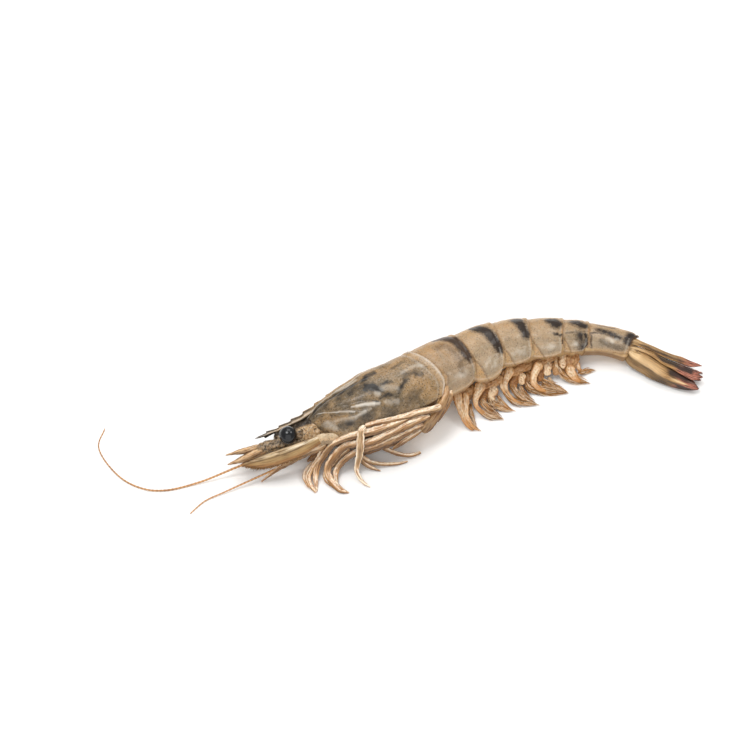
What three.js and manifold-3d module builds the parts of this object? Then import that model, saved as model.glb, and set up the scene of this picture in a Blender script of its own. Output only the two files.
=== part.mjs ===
// A raw tiger prawn, whole, lying on its right side on a table. Millimetres, +Z up, head towards -X.
// Every piece is placed in body coordinates: s runs along the body axis from the rim of the eye socket
// towards the tail, l points out of the left side, and d points out of the back.
import * as THREE from "three";
import { mergeVertices } from "three/addons/utils/BufferGeometryUtils.js";
import Module from "manifold-3d";

const wasm = await Module();
wasm.setup();

// ---------------------------------------------------------------- driving sizes

const GAP = 0.3; // clearance between neighbouring pieces
const AXIS_STEP = 0.5; // step of the sum that lays the axis out on the table
const AXIS_FROM = -48;
const AXIS_TO = 182;
const ORBIT = { x: -62.6, y: -10.8 }; // the axis point at s = 0

// The axis bends by arcs: its heading from +X, in degrees, changes evenly from one of these to the next.
const HEADINGS = [
  [-34, 9.5],
  [17, 10],
  [46, 29],
  [62, 24],
  [92, 7.5],
  [117, -3.5],
  [137, -26],
  [149, -33.5],
  [176, -36],
];

// How the body is rolled and how large it is: s, roll in degrees, height of the axis over the table,
// and from the axis to the back, to the belly and to the side.
const STATIONS = [
  [-48, 34, 9.0, 2.0, 2.0, 2.0],
  [-34, 34, 9.5, 3.2, 4.0, 3.2],
  [0, 34, 12.4, 9.6, 10.0, 8.6],
  [12, 35, 13.4, 13.2, 15.4, 11.4],
  [24, 35, 13.9, 15.8, 17.2, 12.6],
  [40, 36, 13.8, 15.8, 15.4, 12.6],
  [52, 36, 13.4, 14.8, 11.2, 12.2],
  [67, 38, 12.8, 12.5, 10.0, 11.4],
  [84, 40, 12.2, 11.5, 9.4, 10.8],
  [98, 41, 11.0, 10.1, 8.7, 9.8],
  [114, 42, 9.4, 8.2, 8.0, 8.4],
  [124, 42, 7.9, 7.1, 7.4, 6.9],
  [143, 42, 6.0, 6.3, 6.6, 5.0],
  [158, 42, 4.4, 5.0, 5.0, 4.6],
  [182, 42, 2.6, 2.0, 2.0, 4.0],
];

// The six plates of the tail: rear edge on the back, how far it bows back at the sides, how deep the
// side flap hangs below the axis, and where along the plate the flap is deepest.
const PLATES = [
  { rear: 67.5, bow: -1.5, flap: 12.6, deepest: 0.5 },
  { rear: 83.5, bow: -2.0, flap: 13.0, deepest: 0.5 },
  { rear: 98.5, bow: -2.0, flap: 11.6, deepest: 0.52 },
  { rear: 113.8, bow: -2.5, flap: 9.6, deepest: 0.5 },
  { rear: 124.0, bow: -0.3, flap: 7.6, deepest: 0.5 },
  { rear: 143.0, bow: -2.0, flap: 0, deepest: 0.5 },
];
const PLATE_STEP = 0.55; // how far each plate stands over the next one
const FLAP_THICK = 1.2;
const REST = { s: 27, reach: 3.6 }; // the origin: the middle of the flat under the head shell
const GENTLE = 24; // a limb bends by up to this many degrees without a rounded corner

const EYE = { s: -15.5, l: 6.6, d: 2.0, radius: 3.7 };

// ---------------------------------------------------------------- body coordinates

const rad = THREE.MathUtils.degToRad;
const clamp01 = (x) => Math.min(1, Math.max(0, x));
const smooth = (x) => clamp01(x) ** 2 * (3 - 2 * clamp01(x));

/** The value of column `k` of a table at s, on a smooth curve through its rows. */
function column(table, s, k) {
  let i = 1;
  while (i < table.length - 1 && table[i][0] < s) i++;
  const slope = (j) => {
    const a = table[Math.max(0, j - 1)];
    const b = table[Math.min(table.length - 1, j + 1)];
    return (b[k] - a[k]) / (b[0] - a[0]);
  };
  const a = table[i - 1];
  const b = table[i];
  const run = b[0] - a[0];
  const t = clamp01((s - a[0]) / run);
  const t2 = t * t;
  const t3 = t2 * t;
  return (
    (2 * t3 - 3 * t2 + 1) * a[k] +
    (t3 - 2 * t2 + t) * run * slope(i - 1) +
    (3 * t2 - 2 * t3) * b[k] +
    (t3 - t2) * run * slope(i)
  );
}

/** The heading at s, in radians, changing evenly between the table's rows. */
function heading(s) {
  let i = 1;
  while (i < HEADINGS.length - 1 && HEADINGS[i][0] < s) i++;
  const [s0, h0] = HEADINGS[i - 1];
  const [s1, h1] = HEADINGS[i];
  return rad(h0 + (h1 - h0) * clamp01((s - s0) / (s1 - s0)));
}

/** The axis laid out on the table, one point each AXIS_STEP. */
const axisPoints = (() => {
  const made = [new THREE.Vector2()];
  for (let s = AXIS_FROM; s < AXIS_TO; s += AXIS_STEP) {
    const h = heading(s + AXIS_STEP / 2);
    const step = new THREE.Vector2(Math.cos(h), Math.sin(h)).multiplyScalar(AXIS_STEP);
    made.push(made[made.length - 1].clone().add(step));
  }
  const start = made[Math.round(-AXIS_FROM / AXIS_STEP)].clone();
  return made.map((p) => p.sub(start).add(new THREE.Vector2(ORBIT.x, ORBIT.y)));
})();

/** The body's own directions at s: its axis point, along, out of the back, out of the left side. */
function frameAt(s) {
  const place = Math.min(axisPoints.length - 1.001, Math.max(0, (s - AXIS_FROM) / AXIS_STEP));
  const i = Math.floor(place);
  const flat = axisPoints[i].clone().lerp(axisPoints[i + 1], place - i);
  const h = heading(s);
  const roll = rad(column(STATIONS, s, 1));
  const away = new THREE.Vector3(-Math.sin(h), Math.cos(h), 0);
  const up = new THREE.Vector3(0, 0, 1);
  return {
    point: new THREE.Vector3(flat.x, flat.y, column(STATIONS, s, 2)),
    along: new THREE.Vector3(Math.cos(h), Math.sin(h), 0),
    away,
    back: away.clone().multiplyScalar(Math.cos(roll)).addScaledVector(up, Math.sin(roll)),
    left: away.clone().multiplyScalar(-Math.sin(roll)).addScaledVector(up, Math.cos(roll)),
  };
}

/** The point at body coordinates s, l, d. */
function at(s, l, d) {
  const f = frameAt(s);
  return f.point.addScaledVector(f.left, l).addScaledVector(f.back, d);
}

/** The point of the table at station s, `reach` out on the belly's side of the axis. */
function onTable(s, reach) {
  const f = frameAt(s);
  return f.point.addScaledVector(f.away, -reach).setZ(0);
}

/** A direction given in body coordinates. */
function direction(s, t, l, d) {
  const f = frameAt(s);
  return f.along.multiplyScalar(t).addScaledVector(f.left, l).addScaledVector(f.back, d).normalize();
}

// ---------------------------------------------------------------- solids

/** A closed geometry as a solid, its faces turned outwards. */
function solid(geometry) {
  const bare = geometry.index ? geometry.toNonIndexed() : geometry;
  const plain = new THREE.BufferGeometry().setAttribute("position", bare.getAttribute("position"));
  const merged = mergeVertices(plain, 1e-4);
  const vertProperties = new Float32Array(merged.getAttribute("position").array);
  const kept = [];
  const from = merged.index.array;
  for (let i = 0; i < from.length; i += 3) {
    const [a, b, c] = [from[i], from[i + 1], from[i + 2]];
    if (a !== b && b !== c && c !== a) kept.push(a, b, c);
  }
  const make = (triVerts) =>
    new wasm.Manifold(new wasm.Mesh({ numProp: 3, vertProperties, triVerts: new Uint32Array(triVerts) }));
  const made = make(kept);
  if (made.volume() > 0) return made;
  for (let i = 0; i < kept.length; i += 3) [kept[i], kept[i + 1]] = [kept[i + 1], kept[i]];
  return make(kept);
}

/** A capped tube whose vertices go to place(u, angle, r): u along it, r 0 at the caps' middles. */
function bent(sides, steps, place) {
  const base = new THREE.CylinderGeometry(1, 1, 1, sides, steps);
  const position = base.getAttribute("position");
  for (let i = 0; i < position.count; i++) {
    const x = position.getX(i);
    const z = position.getZ(i);
    const p = place(0.5 - position.getY(i), Math.atan2(x, z), Math.min(1, Math.hypot(x, z)));
    position.setXYZ(i, p.x, p.y, p.z);
  }
  return solid(base);
}

/** A curved board: u along, v across from 0 to 1, and 0 or 1 for its two faces. */
function board(alongSteps, acrossSteps, place) {
  const base = new THREE.BoxGeometry(1, 1, 1, alongSteps, acrossSteps, 1);
  const position = base.getAttribute("position");
  for (let i = 0; i < position.count; i++) {
    const p = place(position.getX(i) + 0.5, position.getY(i) + 0.5, position.getZ(i) > 0 ? 1 : 0);
    position.setXYZ(i, p.x, p.y, p.z);
  }
  return solid(base);
}

const tableTop = solid(new THREE.BoxGeometry(600, 600, 200).translate(0, 0, -100));

/** What is left of a piece above the table. */
const aboveTable = (piece) => piece.subtract(tableTop);

/** The joint points with each sharp corner turned into a short curve of three points. */
function rounded(joints, corner) {
  const path = [joints[0]];
  for (let i = 1; i < joints.length - 1; i++) {
    const [a, b, c] = [joints[i - 1], joints[i], joints[i + 1]];
    const turn = b.clone().sub(a).angleTo(c.clone().sub(b));
    if (turn < rad(GENTLE)) {
      path.push(b);
      continue;
    }
    const cutIn = Math.min(corner, a.distanceTo(b) / 2.2);
    const cutOut = Math.min(corner, b.distanceTo(c) / 2.2);
    const before = b.clone().lerp(a, cutIn / a.distanceTo(b));
    const after = b.clone().lerp(c, cutOut / b.distanceTo(c));
    const middle = before.clone().lerp(after, 0.5).lerp(b, 0.5);
    path.push(before, middle, after);
  }
  path.push(joints[joints.length - 1]);
  return path;
}

/**
 * A limb along joint points. Its half width and half thickness run evenly from joint to joint,
 * and `across` is the way that its width points at the start.
 */
function limb(joints, halfWidths, halfThicks, { across, corner = 2, sides = 7 } = {}) {
  const path = rounded(joints, corner);
  const lengths = [0];
  for (let i = 1; i < path.length; i++) lengths.push(lengths[i - 1] + path[i].distanceTo(path[i - 1]));
  const jointAt = joints.map((p) => {
    let best = 0;
    path.forEach((q, i) => (best = q.distanceTo(p) < path[best].distanceTo(p) ? i : best));
    return lengths[best];
  });
  const size = (values, x) => {
    let i = 1;
    while (i < jointAt.length - 1 && jointAt[i] < x) i++;
    const t = clamp01((x - jointAt[i - 1]) / (jointAt[i] - jointAt[i - 1]));
    return values[i - 1] + (values[i] - values[i - 1]) * t;
  };
  const way = (across ?? new THREE.Vector3(0, 0, 1)).clone();
  const rings = path.map((p, i) => {
    const tangent = path[Math.min(i + 1, path.length - 1)].clone().sub(path[Math.max(i - 1, 0)]).normalize();
    way.addScaledVector(tangent, -way.dot(tangent)).normalize();
    const side = new THREE.Vector3().crossVectors(tangent, way);
    return { p, way: way.clone(), side, a: size(halfWidths, lengths[i]), b: size(halfThicks, lengths[i]) };
  });
  return bent(sides, path.length - 1, (u, angle, r) => {
    const ring = rings[Math.round(u * (rings.length - 1))];
    return ring.p
      .clone()
      .addScaledVector(ring.way, r * ring.a * Math.cos(angle))
      .addScaledVector(ring.side, r * ring.b * Math.sin(angle));
  });
}

/** An ellipsoid turned to the body at s, with radii along the body, out of the side and out of the back. */
function ovoid(s, l, d, radii, around = 12, down = 8) {
  const base = new THREE.SphereGeometry(1, around, down);
  const f = frameAt(s);
  const basis = new THREE.Matrix4().makeBasis(f.along, f.left, f.back).scale(new THREE.Vector3(...radii));
  const centre = at(s, l, d);
  return solid(base.applyMatrix4(basis).translate(centre.x, centre.y, centre.z));
}

// ---------------------------------------------------------------- materials and the group

const finish = (colour, roughness) =>
  new THREE.MeshStandardMaterial({ color: colour, roughness, metalness: 0 });
const MATERIALS = {
  shell: finish(0x8c7a58, 0.38),
  plate: finish(0xa8977a, 0.38),
  tail: finish(0x7a5638, 0.35),
  eye: finish(0x121216, 0.1),
  limb: finish(0xc29863, 0.45),
};

const prawn = new THREE.Group();

function add(name, piece, material) {
  const mesh = aboveTable(piece).getMesh();
  const vertices = new Float32Array(mesh.numVert * 3);
  for (let i = 0; i < mesh.numVert; i++) {
    vertices.set(mesh.vertProperties.subarray(i * mesh.numProp, i * mesh.numProp + 3), i * 3);
  }
  const geometry = new THREE.BufferGeometry()
    .setAttribute("position", new THREE.BufferAttribute(vertices, 3))
    .setIndex(new THREE.BufferAttribute(new Uint32Array(mesh.triVerts), 1));
  geometry.computeVertexNormals();
  const node = new THREE.Mesh(geometry, material);
  node.name = name;
  prawn.add(node);
}

// ---------------------------------------------------------------- the body's skin

/** Half width, and height over the axis, of the body's outline at s for an angle from the back. */
function outline(s, angle) {
  const c = Math.cos(angle);
  const k = Math.sin(angle);
  const above = c > 0;
  const power = above ? 0.96 : 0.82;
  return {
    l: column(STATIONS, s, 5) * Math.sign(k) * Math.abs(k) ** power,
    d: column(STATIONS, s, above ? 3 : 4) * Math.sign(c) * Math.abs(c) ** power,
  };
}

/** The left side's half width at depth d, on the same outline. */
function sideAt(s, d) {
  const reach = column(STATIONS, s, d > 0 ? 3 : 4);
  const c = Math.min(1, Math.abs(d) / reach) ** (1 / (d > 0 ? 0.96 : 0.82));
  return column(STATIONS, s, 5) * Math.sqrt(1 - c * c) ** (d > 0 ? 0.96 : 0.82);
}

// ---------------------------------------------------------------- head shell

/** Where the head shell ends at an angle from the back: it bows back at the cheek, and is cut away below. */
const shellRear = (angle) =>
  48 + 3.5 * Math.sin(angle) ** 2 - 17 * Math.max(0, -Math.cos(angle)) ** 1.6;
const shellFront = (angle) => -5.5 + 6 * Math.sin(angle / 2) ** 2;
const KEEL = 0.9; // the ridge along the middle of the back

function shellPoint(u, angle, r, grow = 0) {
  const along = 0.45 * u + 0.55 * u * u;
  const s = shellFront(angle) + along * (shellRear(angle) + grow - shellFront(angle));
  const skin = outline(s, angle);
  const nose = 1 - 0.42 * (1 - clamp01(along / 0.2)) ** 2.4;
  const keel = KEEL * Math.exp(-((angle / 0.2) ** 2)) * (1 - smooth((u - 0.5) / 0.35));
  const size = r * nose * (1 + grow / 12);
  return at(s, skin.l * size, skin.d * size + keel * r);
}

// The beak, from its tip back to where it runs out on the shell: the height of its edge over the axis,
// and half its depth.
const ROSTRUM = { tip: -28.3, root: 12, rise: [5.1, 5.9, 7.6, 10.7, 13.7], half: [0.3, 0.9, 1.5, 2.0, 1.4] };

function rostrum() {
  const { root, tip, rise, half } = ROSTRUM;
  const joints = rise.map((d, i) => at(tip + ((root - tip) * i) / (rise.length - 1), 0, d - half[i]));
  const thick = half.map((h) => 0.25 + 0.5 * h);
  const blade = limb(joints, half, thick, { across: direction(-10, 0, 0, 1), sides: 8 });
  const tooth = (s, d, length, down) => {
    const base = new THREE.ConeGeometry(0.5, length, 4).translate(0, length / 2, 0);
    const way = direction(s, -0.94, 0, down ? -0.34 : 0.34);
    base.applyQuaternion(new THREE.Quaternion().setFromUnitVectors(new THREE.Vector3(0, 1, 0), way));
    const p = at(s, 0, d);
    return solid(base.translate(p.x, p.y, p.z));
  };
  const line = (s) => {
    const place = ((s - tip) / (root - tip)) * (rise.length - 1);
    const i = Math.min(rise.length - 2, Math.floor(place));
    const between = (values) => values[i] + (values[i + 1] - values[i]) * (place - i);
    return { top: between(rise), h: between(half) };
  };
  const upper = [-20, -14.5, -9, -3.5, 2, 7.5].map((s) => tooth(s, line(s).top - 0.4, 2.4, false));
  const lower = [-22, -17].map((s) => tooth(s, line(s).top - 2 * line(s).h + 0.4, 2.0, true));
  return [...upper, ...lower].reduce((whole, t) => whole.add(t), blade);
}

const shell = bent(24, 14, (u, angle, r) => shellPoint(u, angle, r)).add(rostrum());
const shellCutter = bent(24, 14, (u, angle, r) => shellPoint(u, angle, r, GAP));
add("head_shell", shell, MATERIALS.shell);

// ---------------------------------------------------------------- the tail's six plates

/** Where plate k starts at an angle: on the rear edge of the plate in front of it. */
function plateRear(k, angle) {
  if (k < 0) return shellRear(angle);
  return PLATES[k].rear + PLATES[k].bow * Math.sin(angle) ** 2 - 2.2 * Math.max(0, -Math.cos(angle)) ** 2;
}

/** The solid of plate k, its barrel and two hanging flaps, `grow` larger all round. */
function plate(k, grow = 0) {
  const { flap, deepest } = PLATES[k];
  const lap = 4; // how far it runs on below the plate in front of it
  const span = (u, angle) => {
    const front = plateRear(k - 1, angle) - lap;
    return front + u * (plateRear(k, angle) + grow - front);
  };
  const lift = (s, angle) => {
    const front = plateRear(k - 1, angle);
    const rear = plateRear(k, angle);
    return grow + PLATE_STEP * smooth((s - front) / (rear - front)) - PLATE_STEP / 2;
  };
  const barrel = bent(20, 4, (u, angle, r) => {
    const s = span(u, angle);
    const skin = outline(s, angle);
    const out = lift(s, angle);
    const n = Math.hypot(skin.l, skin.d);
    return at(s, r * skin.l * (1 + out / n), r * skin.d * (1 + out / n));
  });
  if (!flap) return barrel;
  const hang = (side) =>
    board(8, 2, (u, v, face) => {
      const angle = side * Math.PI * 0.62;
      const s0 = plateRear(k - 1, angle) - 1.5;
      const s1 = plateRear(k, angle) + grow;
      const lobe = Math.sqrt(Math.max(0, 1 - ((u - deepest) / 0.52) ** 2));
      const tip = 3 + (flap + grow - 3) * lobe;
      const d = -1 - v * (tip - 1);
      const s = s0 + u * (s1 - s0) - 2.5 * smooth(-d / flap) * u;
      const half = column(STATIONS, s, 5);
      const tuck = side > 0 ? 0.16 : 0.42;
      const belly = half * (1 - tuck * (Math.max(0, -d) / flap) ** 2);
      const l = belly + lift(s, angle) - (face ? 0 : FLAP_THICK + 2 * grow);
      return at(s, side * l, d);
    });
  return barrel.add(hang(1)).add(hang(-1));
}

PLATES.forEach((_, k) => {
  const inFront = k === 0 ? shellCutter : plate(k - 1, GAP);
  const cut = plate(k).subtract(inFront).decompose();
  cut.sort((a, b) => b.volume() - a.volume());
  add("tail_plate_" + (k + 1), cut[0], k === 5 ? MATERIALS.tail : MATERIALS.plate);
});

// ---------------------------------------------------------------- tail fan

/** A limb from rows of body coordinates, its width pointing the way `across` gives in l and d. */
function leaf(line, across, half, thick) {
  const joints = line.map(([s, l, d]) => at(s, l, d));
  return limb(joints, half, thick, { across: direction(150, 0, ...across), corner: 4, sides: 8 });
}

// Each leaf of the folded fan: its line from root to tip in s, l and d, the way that its width points
// in l and d, and its half width and half thickness along that line.
const FAN = {
  telson: {
    line: [[143.6, 0.4, 2.9], [152, 0.9, 2.6], [162, 0.6, 3.0], [169, 0.2, 3.8], [173, 0, 4.3]],
    across: [0.45, -0.9],
    half: [3.1, 2.8, 2.1, 1.2, 0.3],
    thick: [2.7, 2.2, 1.5, 0.9, 0.3],
  },
  uropod_inner_left: {
    line: [[146.2, 3.2, -2.0], [156, 3.5, -2.3], [166, 3.1, -1.2], [172, 2.6, -0.3], [175.2, 2.2, 0.3]],
    across: [0.15, -0.99],
    half: [2.3, 2.7, 2.3, 1.3, 0.3],
    thick: [0.8, 0.8, 0.7, 0.5, 0.3],
  },
  uropod_outer_left: {
    line: [[143.6, 4.6, -5.6], [149, 5.3, -6.4], [160, 5.5, -6.9], [170, 5.0, -5.9], [175.6, 4.0, -4.5]],
    across: [-0.3, -0.95],
    half: [1.9, 2.9, 2.8, 1.8, 0.3],
    thick: [0.8, 1.0, 0.9, 0.6, 0.3],
  },
  uropod_inner_right: {
    line: [[147.2, -3.4, -0.4], [156, -3.0, -0.4], [165, -2.4, 0.4], [174, -1.6, 1.6]],
    across: [-0.67, 0.74],
    half: [1.4, 1.6, 1.4, 0.3],
    thick: [0.7, 0.7, 0.6, 0.3],
  },
  uropod_outer_right: {
    line: [[147.2, -1.6, -3.0], [154, -1.5, -3.9], [165, -1.2, -2.6], [174.5, -1.0, -1.2]],
    across: [0.67, -0.74],
    half: [1.5, 2.4, 2.0, 0.3],
    thick: [0.6, 0.6, 0.5, 0.3],
  },
};
for (const [name, { line, across, half, thick }] of Object.entries(FAN)) {
  add(name, leaf(line, across, half, thick), MATERIALS.tail);
}
const stubLeft = [[142.4, 3.0, -1.7], [145.7, 3.9, -1.6]];
add("uropod_base_left", leaf(stubLeft, [0, 1], [2.2, 2.0], [1.5, 1.4]), MATERIALS.tail);
const stubRight = [[143.6, -2.6, -0.6], [146.6, -2.4, -1.2]];
add("uropod_base_right", leaf(stubRight, [0.67, -0.74], [1.8, 2.0], [1.1, 1.1]), MATERIALS.tail);

// ---------------------------------------------------------------- front of the head

const snout = bent(14, 2, (u, angle, r) => {
  const s = shellFront(angle) - GAP - (4.6 - 2.6 * Math.sin(angle / 2) ** 2) * u;
  const middle = -1.3 - 0.7 * u;
  return at(s, r * (5.4 - 1.2 * u) * Math.sin(angle), middle + r * (5.6 - 0.9 * u) * Math.cos(angle));
});
add("head_front", snout, MATERIALS.shell);

const outOfBack = direction(-15, 0, 0, 1);
for (const side of [1, -1]) {
  const hand = side > 0 ? "left" : "right";
  const place = ([s, l, d]) => at(s, side * l, d);
  const arm = (rows, half, thick, options) => limb(rows.map(place), half, thick, options);

  const centre = place([EYE.s, EYE.l, EYE.d]);
  const eyeball = new THREE.SphereGeometry(EYE.radius, 16, 12);
  add("eye_" + hand, solid(eyeball.translate(centre.x, centre.y, centre.z)), MATERIALS.eye);

  const stalk = [[-9.3, 3.4, 0.9], [-12.0, 4.5, 1.3]];
  add("eye_stalk_" + hand, arm(stalk, [2.0, 2.2], [1.7, 1.9]), MATERIALS.limb);

  const trunk = [[-10.0, 2.4, -4.0], [-18, 2.5, -2.0], [-25, 2.4, -0.6], [-31, 2.0, 0.3]];
  const upper = [[-28.6, 2.0, 0.7], [-34, 1.6, 1.5], [-41.3, 1.2, 2.1]];
  const lower = [[-28.6, 2.3, -0.3], [-34, 2.6, -1.1], [-41.4, 2.8, -1.9]];
  const whip = [0.9, 0.7, 0.2];
  const small = { across: outOfBack, sides: 8 };
  const antennule = arm(trunk, [2.1, 2.3, 2.0, 1.1], [1.6, 1.6, 1.4, 0.9], small)
    .add(arm(upper, whip, [0.6, 0.5, 0.2], small))
    .add(arm(lower, whip, [0.6, 0.5, 0.2], small));
  add("antennule_" + hand, antennule, MATERIALS.limb);

  const scale = [[-2.8, 9.8, -3.6], [-12, 9.2, -4.7], [-20, 7.8, -5.0], [-28.5, 6.0, -4.6], [-36, 4.0, -3.5]];
  const scaleHalf = [1.7, 2.8, 3.0, 2.6, 0.3];
  add("antenna_scale_" + hand, arm(scale, scaleHalf, [0.5, 0.6, 0.6, 0.5, 0.2], small), MATERIALS.limb);

  add("antenna_base_" + hand, ovoid(-4.0, side * 7.2, -4.4, [3.0, 1.7, 2.2]), MATERIALS.limb);
}

// ---------------------------------------------------------------- feelers, legs and swimming legs

/** The point whose middle lies `lift` off the skin of the left side, at depth d. */
function beside(s, d, lift) {
  let from = 0.3;
  let to = 3.1;
  const point = (angle) => {
    const skin = outline(s, angle);
    const a = outline(s, angle - 0.01);
    const b = outline(s, angle + 0.01);
    const n = Math.hypot(b.l - a.l, b.d - a.d);
    return { l: skin.l - (lift * (b.d - a.d)) / n, d: skin.d + (lift * (b.l - a.l)) / n };
  };
  for (let i = 0; i < 24; i++) {
    const middle = (from + to) / 2;
    if (point(middle).d > d) from = middle;
    else to = middle;
  }
  const found = point(from);
  return at(s, found.l, found.d);
}
const spot = (x, y, z) => new THREE.Vector3(x, y, z);

// Each long feeler: its line, from under the head out over the table.
const FEELERS = {
  antenna_left: [
    at(-8.8, 1.6, -8.3),
    spot(-81.3, -22.0, 5.4),
    spot(-86.4, -22.9, 4.2),
    spot(-106.0, -27.5, 1.0),
    spot(-114.6, -30.1, 0.5),
    spot(-121.6, -35.2, 0.4),
  ],
  antenna_right: [
    at(-8.8, -2.2, -7.6),
    spot(-89.4, -18.2, 7.0),
    spot(-97.4, -18.7, 5.4),
    spot(-115.4, -21.0, 1.0),
    spot(-130.0, -22.2, 0.5),
    spot(-138.4, -20.0, 0.5),
    spot(-147.5, -12.6, 0.45),
    spot(-154.7, 3.6, 0.4),
    spot(-151.1, 12.6, 0.4),
  ],
};
for (const [name, joints] of Object.entries(FEELERS)) {
  const curve = new THREE.CatmullRomCurve3(joints, false, "centripetal");
  const steps = Math.round(curve.getLength() / 5);
  const path = curve.getSpacedPoints(steps);
  const radius = path.map((_, i) => 0.6 - 0.38 * (i / steps) ** 0.8);
  path.forEach((p, i) => (p.z = Math.max(p.z, radius[i] + 0.1)));
  add(name, limb(path, radius, radius, { sides: 5 }), MATERIALS.limb);
}

// Each walking leg and jaw leg: its joints from the body to the foot, then its half width at each.
const LEGS = {
  jaw_leg_left: {
    joints: [at(-5.4, 6.3, -7.3), at(-11.4, 5.8, -7.7), at(-17.6, 4.8, -8.4), spot(-86.2, -25.0, 5.9), spot(-90.9, -25.9, 0.8)],
    half: [1.1, 1.0, 0.9, 0.7, 0.25],
  },
  jaw_leg_right: {
    joints: [at(-5.4, -5.6, -7.3), at(-14, -3.4, -7.2), spot(-80.0, -17.4, 1.4), spot(-88.0, -20.5, 0.7)],
    half: [1.1, 1.0, 0.8, 0.3],
  },
  leg_1_left: {
    joints: [at(0.2, 3.4, -10.0), spot(-64.4, -20.2, 11.4), spot(-69.7, -22.5, 6.0), spot(-72.8, -25.3, 2.6), spot(-72.4, -29.5, 1.3), spot(-69.7, -34.4, 0.5)],
    half: [1.0, 1.0, 1.1, 1.0, 0.8, 0.25],
  },
  leg_2_left: {
    joints: [beside(35.2, -14.2, 1.5), beside(30, -14.3, 1.6), beside(22, -14.3, 1.6), beside(13, -14.0, 1.6), spot(-53.2, -23.6, 10.3), spot(-57.9, -25.1, 4.2), spot(-60.1, -28.2, 1.7), spot(-60.0, -32.7, 0.6)],
    half: [1.3, 1.4, 1.4, 1.3, 1.2, 1.1, 0.8, 0.3],
  },
  leg_3_left: {
    joints: [beside(38.6, -11.3, 1.5), beside(31, -11.2, 1.5), beside(23, -11.0, 1.5), beside(14, -10.6, 1.5), beside(6.2, -10.6, 1.6), spot(-57.8, -23.3, 12.0), spot(-63.0, -24.9, 6.0), spot(-63.8, -28.9, 2.2), spot(-61.8, -33.2, 1.1), spot(-56.0, -36.9, 0.6)],
    half: [1.2, 1.35, 1.3, 1.2, 1.2, 1.2, 1.1, 1.0, 0.8, 0.3],
  },
  leg_4_left: {
    joints: [beside(40, -9.0, 1.4), beside(31, -8.6, 1.4), beside(23, -8.25, 1.4), beside(14, -7.3, 1.4), beside(7, -6.5, 1.4), spot(-60.7, -20.5, 15.7), spot(-65.4, -23.3, 10.0), spot(-68.6, -25.9, 4.2), spot(-69.3, -29.3, 1.6), spot(-68.2, -33.3, 0.6)],
    half: [1.0, 1.1, 1.1, 1.1, 1.1, 1.1, 1.0, 0.9, 0.7, 0.25],
  },
  leg_5_left: {
    joints: [beside(41.4, -15.0, 1.4), beside(44.9, -10.6, 1.4), beside(41.6, -6.9, 1.4), beside(33, -6.3, 1.4), beside(24, -5.7, 1.5), spot(-48.0, -20.8, 24.4), spot(-49.8, -25.2, 20.6), spot(-50.3, -27.4, 11.8), spot(-51.5, -28.7, 4.6), spot(-50.2, -31.1, 1.8), spot(-47.0, -35.2, 0.6)],
    half: [1.1, 1.1, 1.0, 1.05, 1.05, 1.1, 1.2, 1.2, 1.0, 0.7, 0.25],
  },
  leg_1_right: {
    joints: [at(-0.6, -3.4, -9.3), spot(-64.5, -17.8, 2.8), spot(-69.5, -20.6, 0.9), spot(-71.2, -25.6, 0.6)],
    half: [1.0, 0.9, 0.7, 0.3],
  },
  leg_2_right: {
    joints: [spot(-57.3, -18.8, 3.4), spot(-62.6, -22.0, 1.0), spot(-66.2, -27.6, 0.6)],
    half: [1.0, 0.8, 0.3],
  },
  leg_3_right: {
    joints: [spot(-50.6, -20.6, 1.6), spot(-45.8, -25.0, 0.8), spot(-42.1, -28.6, 0.6)],
    half: [0.9, 0.7, 0.3],
  },
  leg_4_right: {
    joints: [spot(-48.2, -21.9, 3.8), spot(-44.0, -23.4, 1.8), spot(-37.8, -24.7, 0.9), spot(-29.7, -25.7, 0.6)],
    half: [0.9, 0.9, 0.7, 0.3],
  },
  leg_5_right: {
    joints: [beside(35.4, -16.3, 1.4), beside(29.5, -17.2, 1.5), beside(24.5, -17.6, 1.6), spot(-37.4, -21.6, 4.6), spot(-36.6, -22.4, 2.8), spot(-31.7, -22.7, 1.6), spot(-23.4, -22.5, 0.7)],
    half: [0.9, 1.0, 1.0, 0.9, 0.9, 0.8, 0.3],
  },
};
for (const [name, { joints, half }] of Object.entries(LEGS)) {
  const thick = half.map((h) => 0.85 * h);
  add(name, limb(joints, half, thick, { across: direction(20, 0, 0, 1), corner: 2.2, sides: 6 }), MATERIALS.limb);
}

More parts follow.
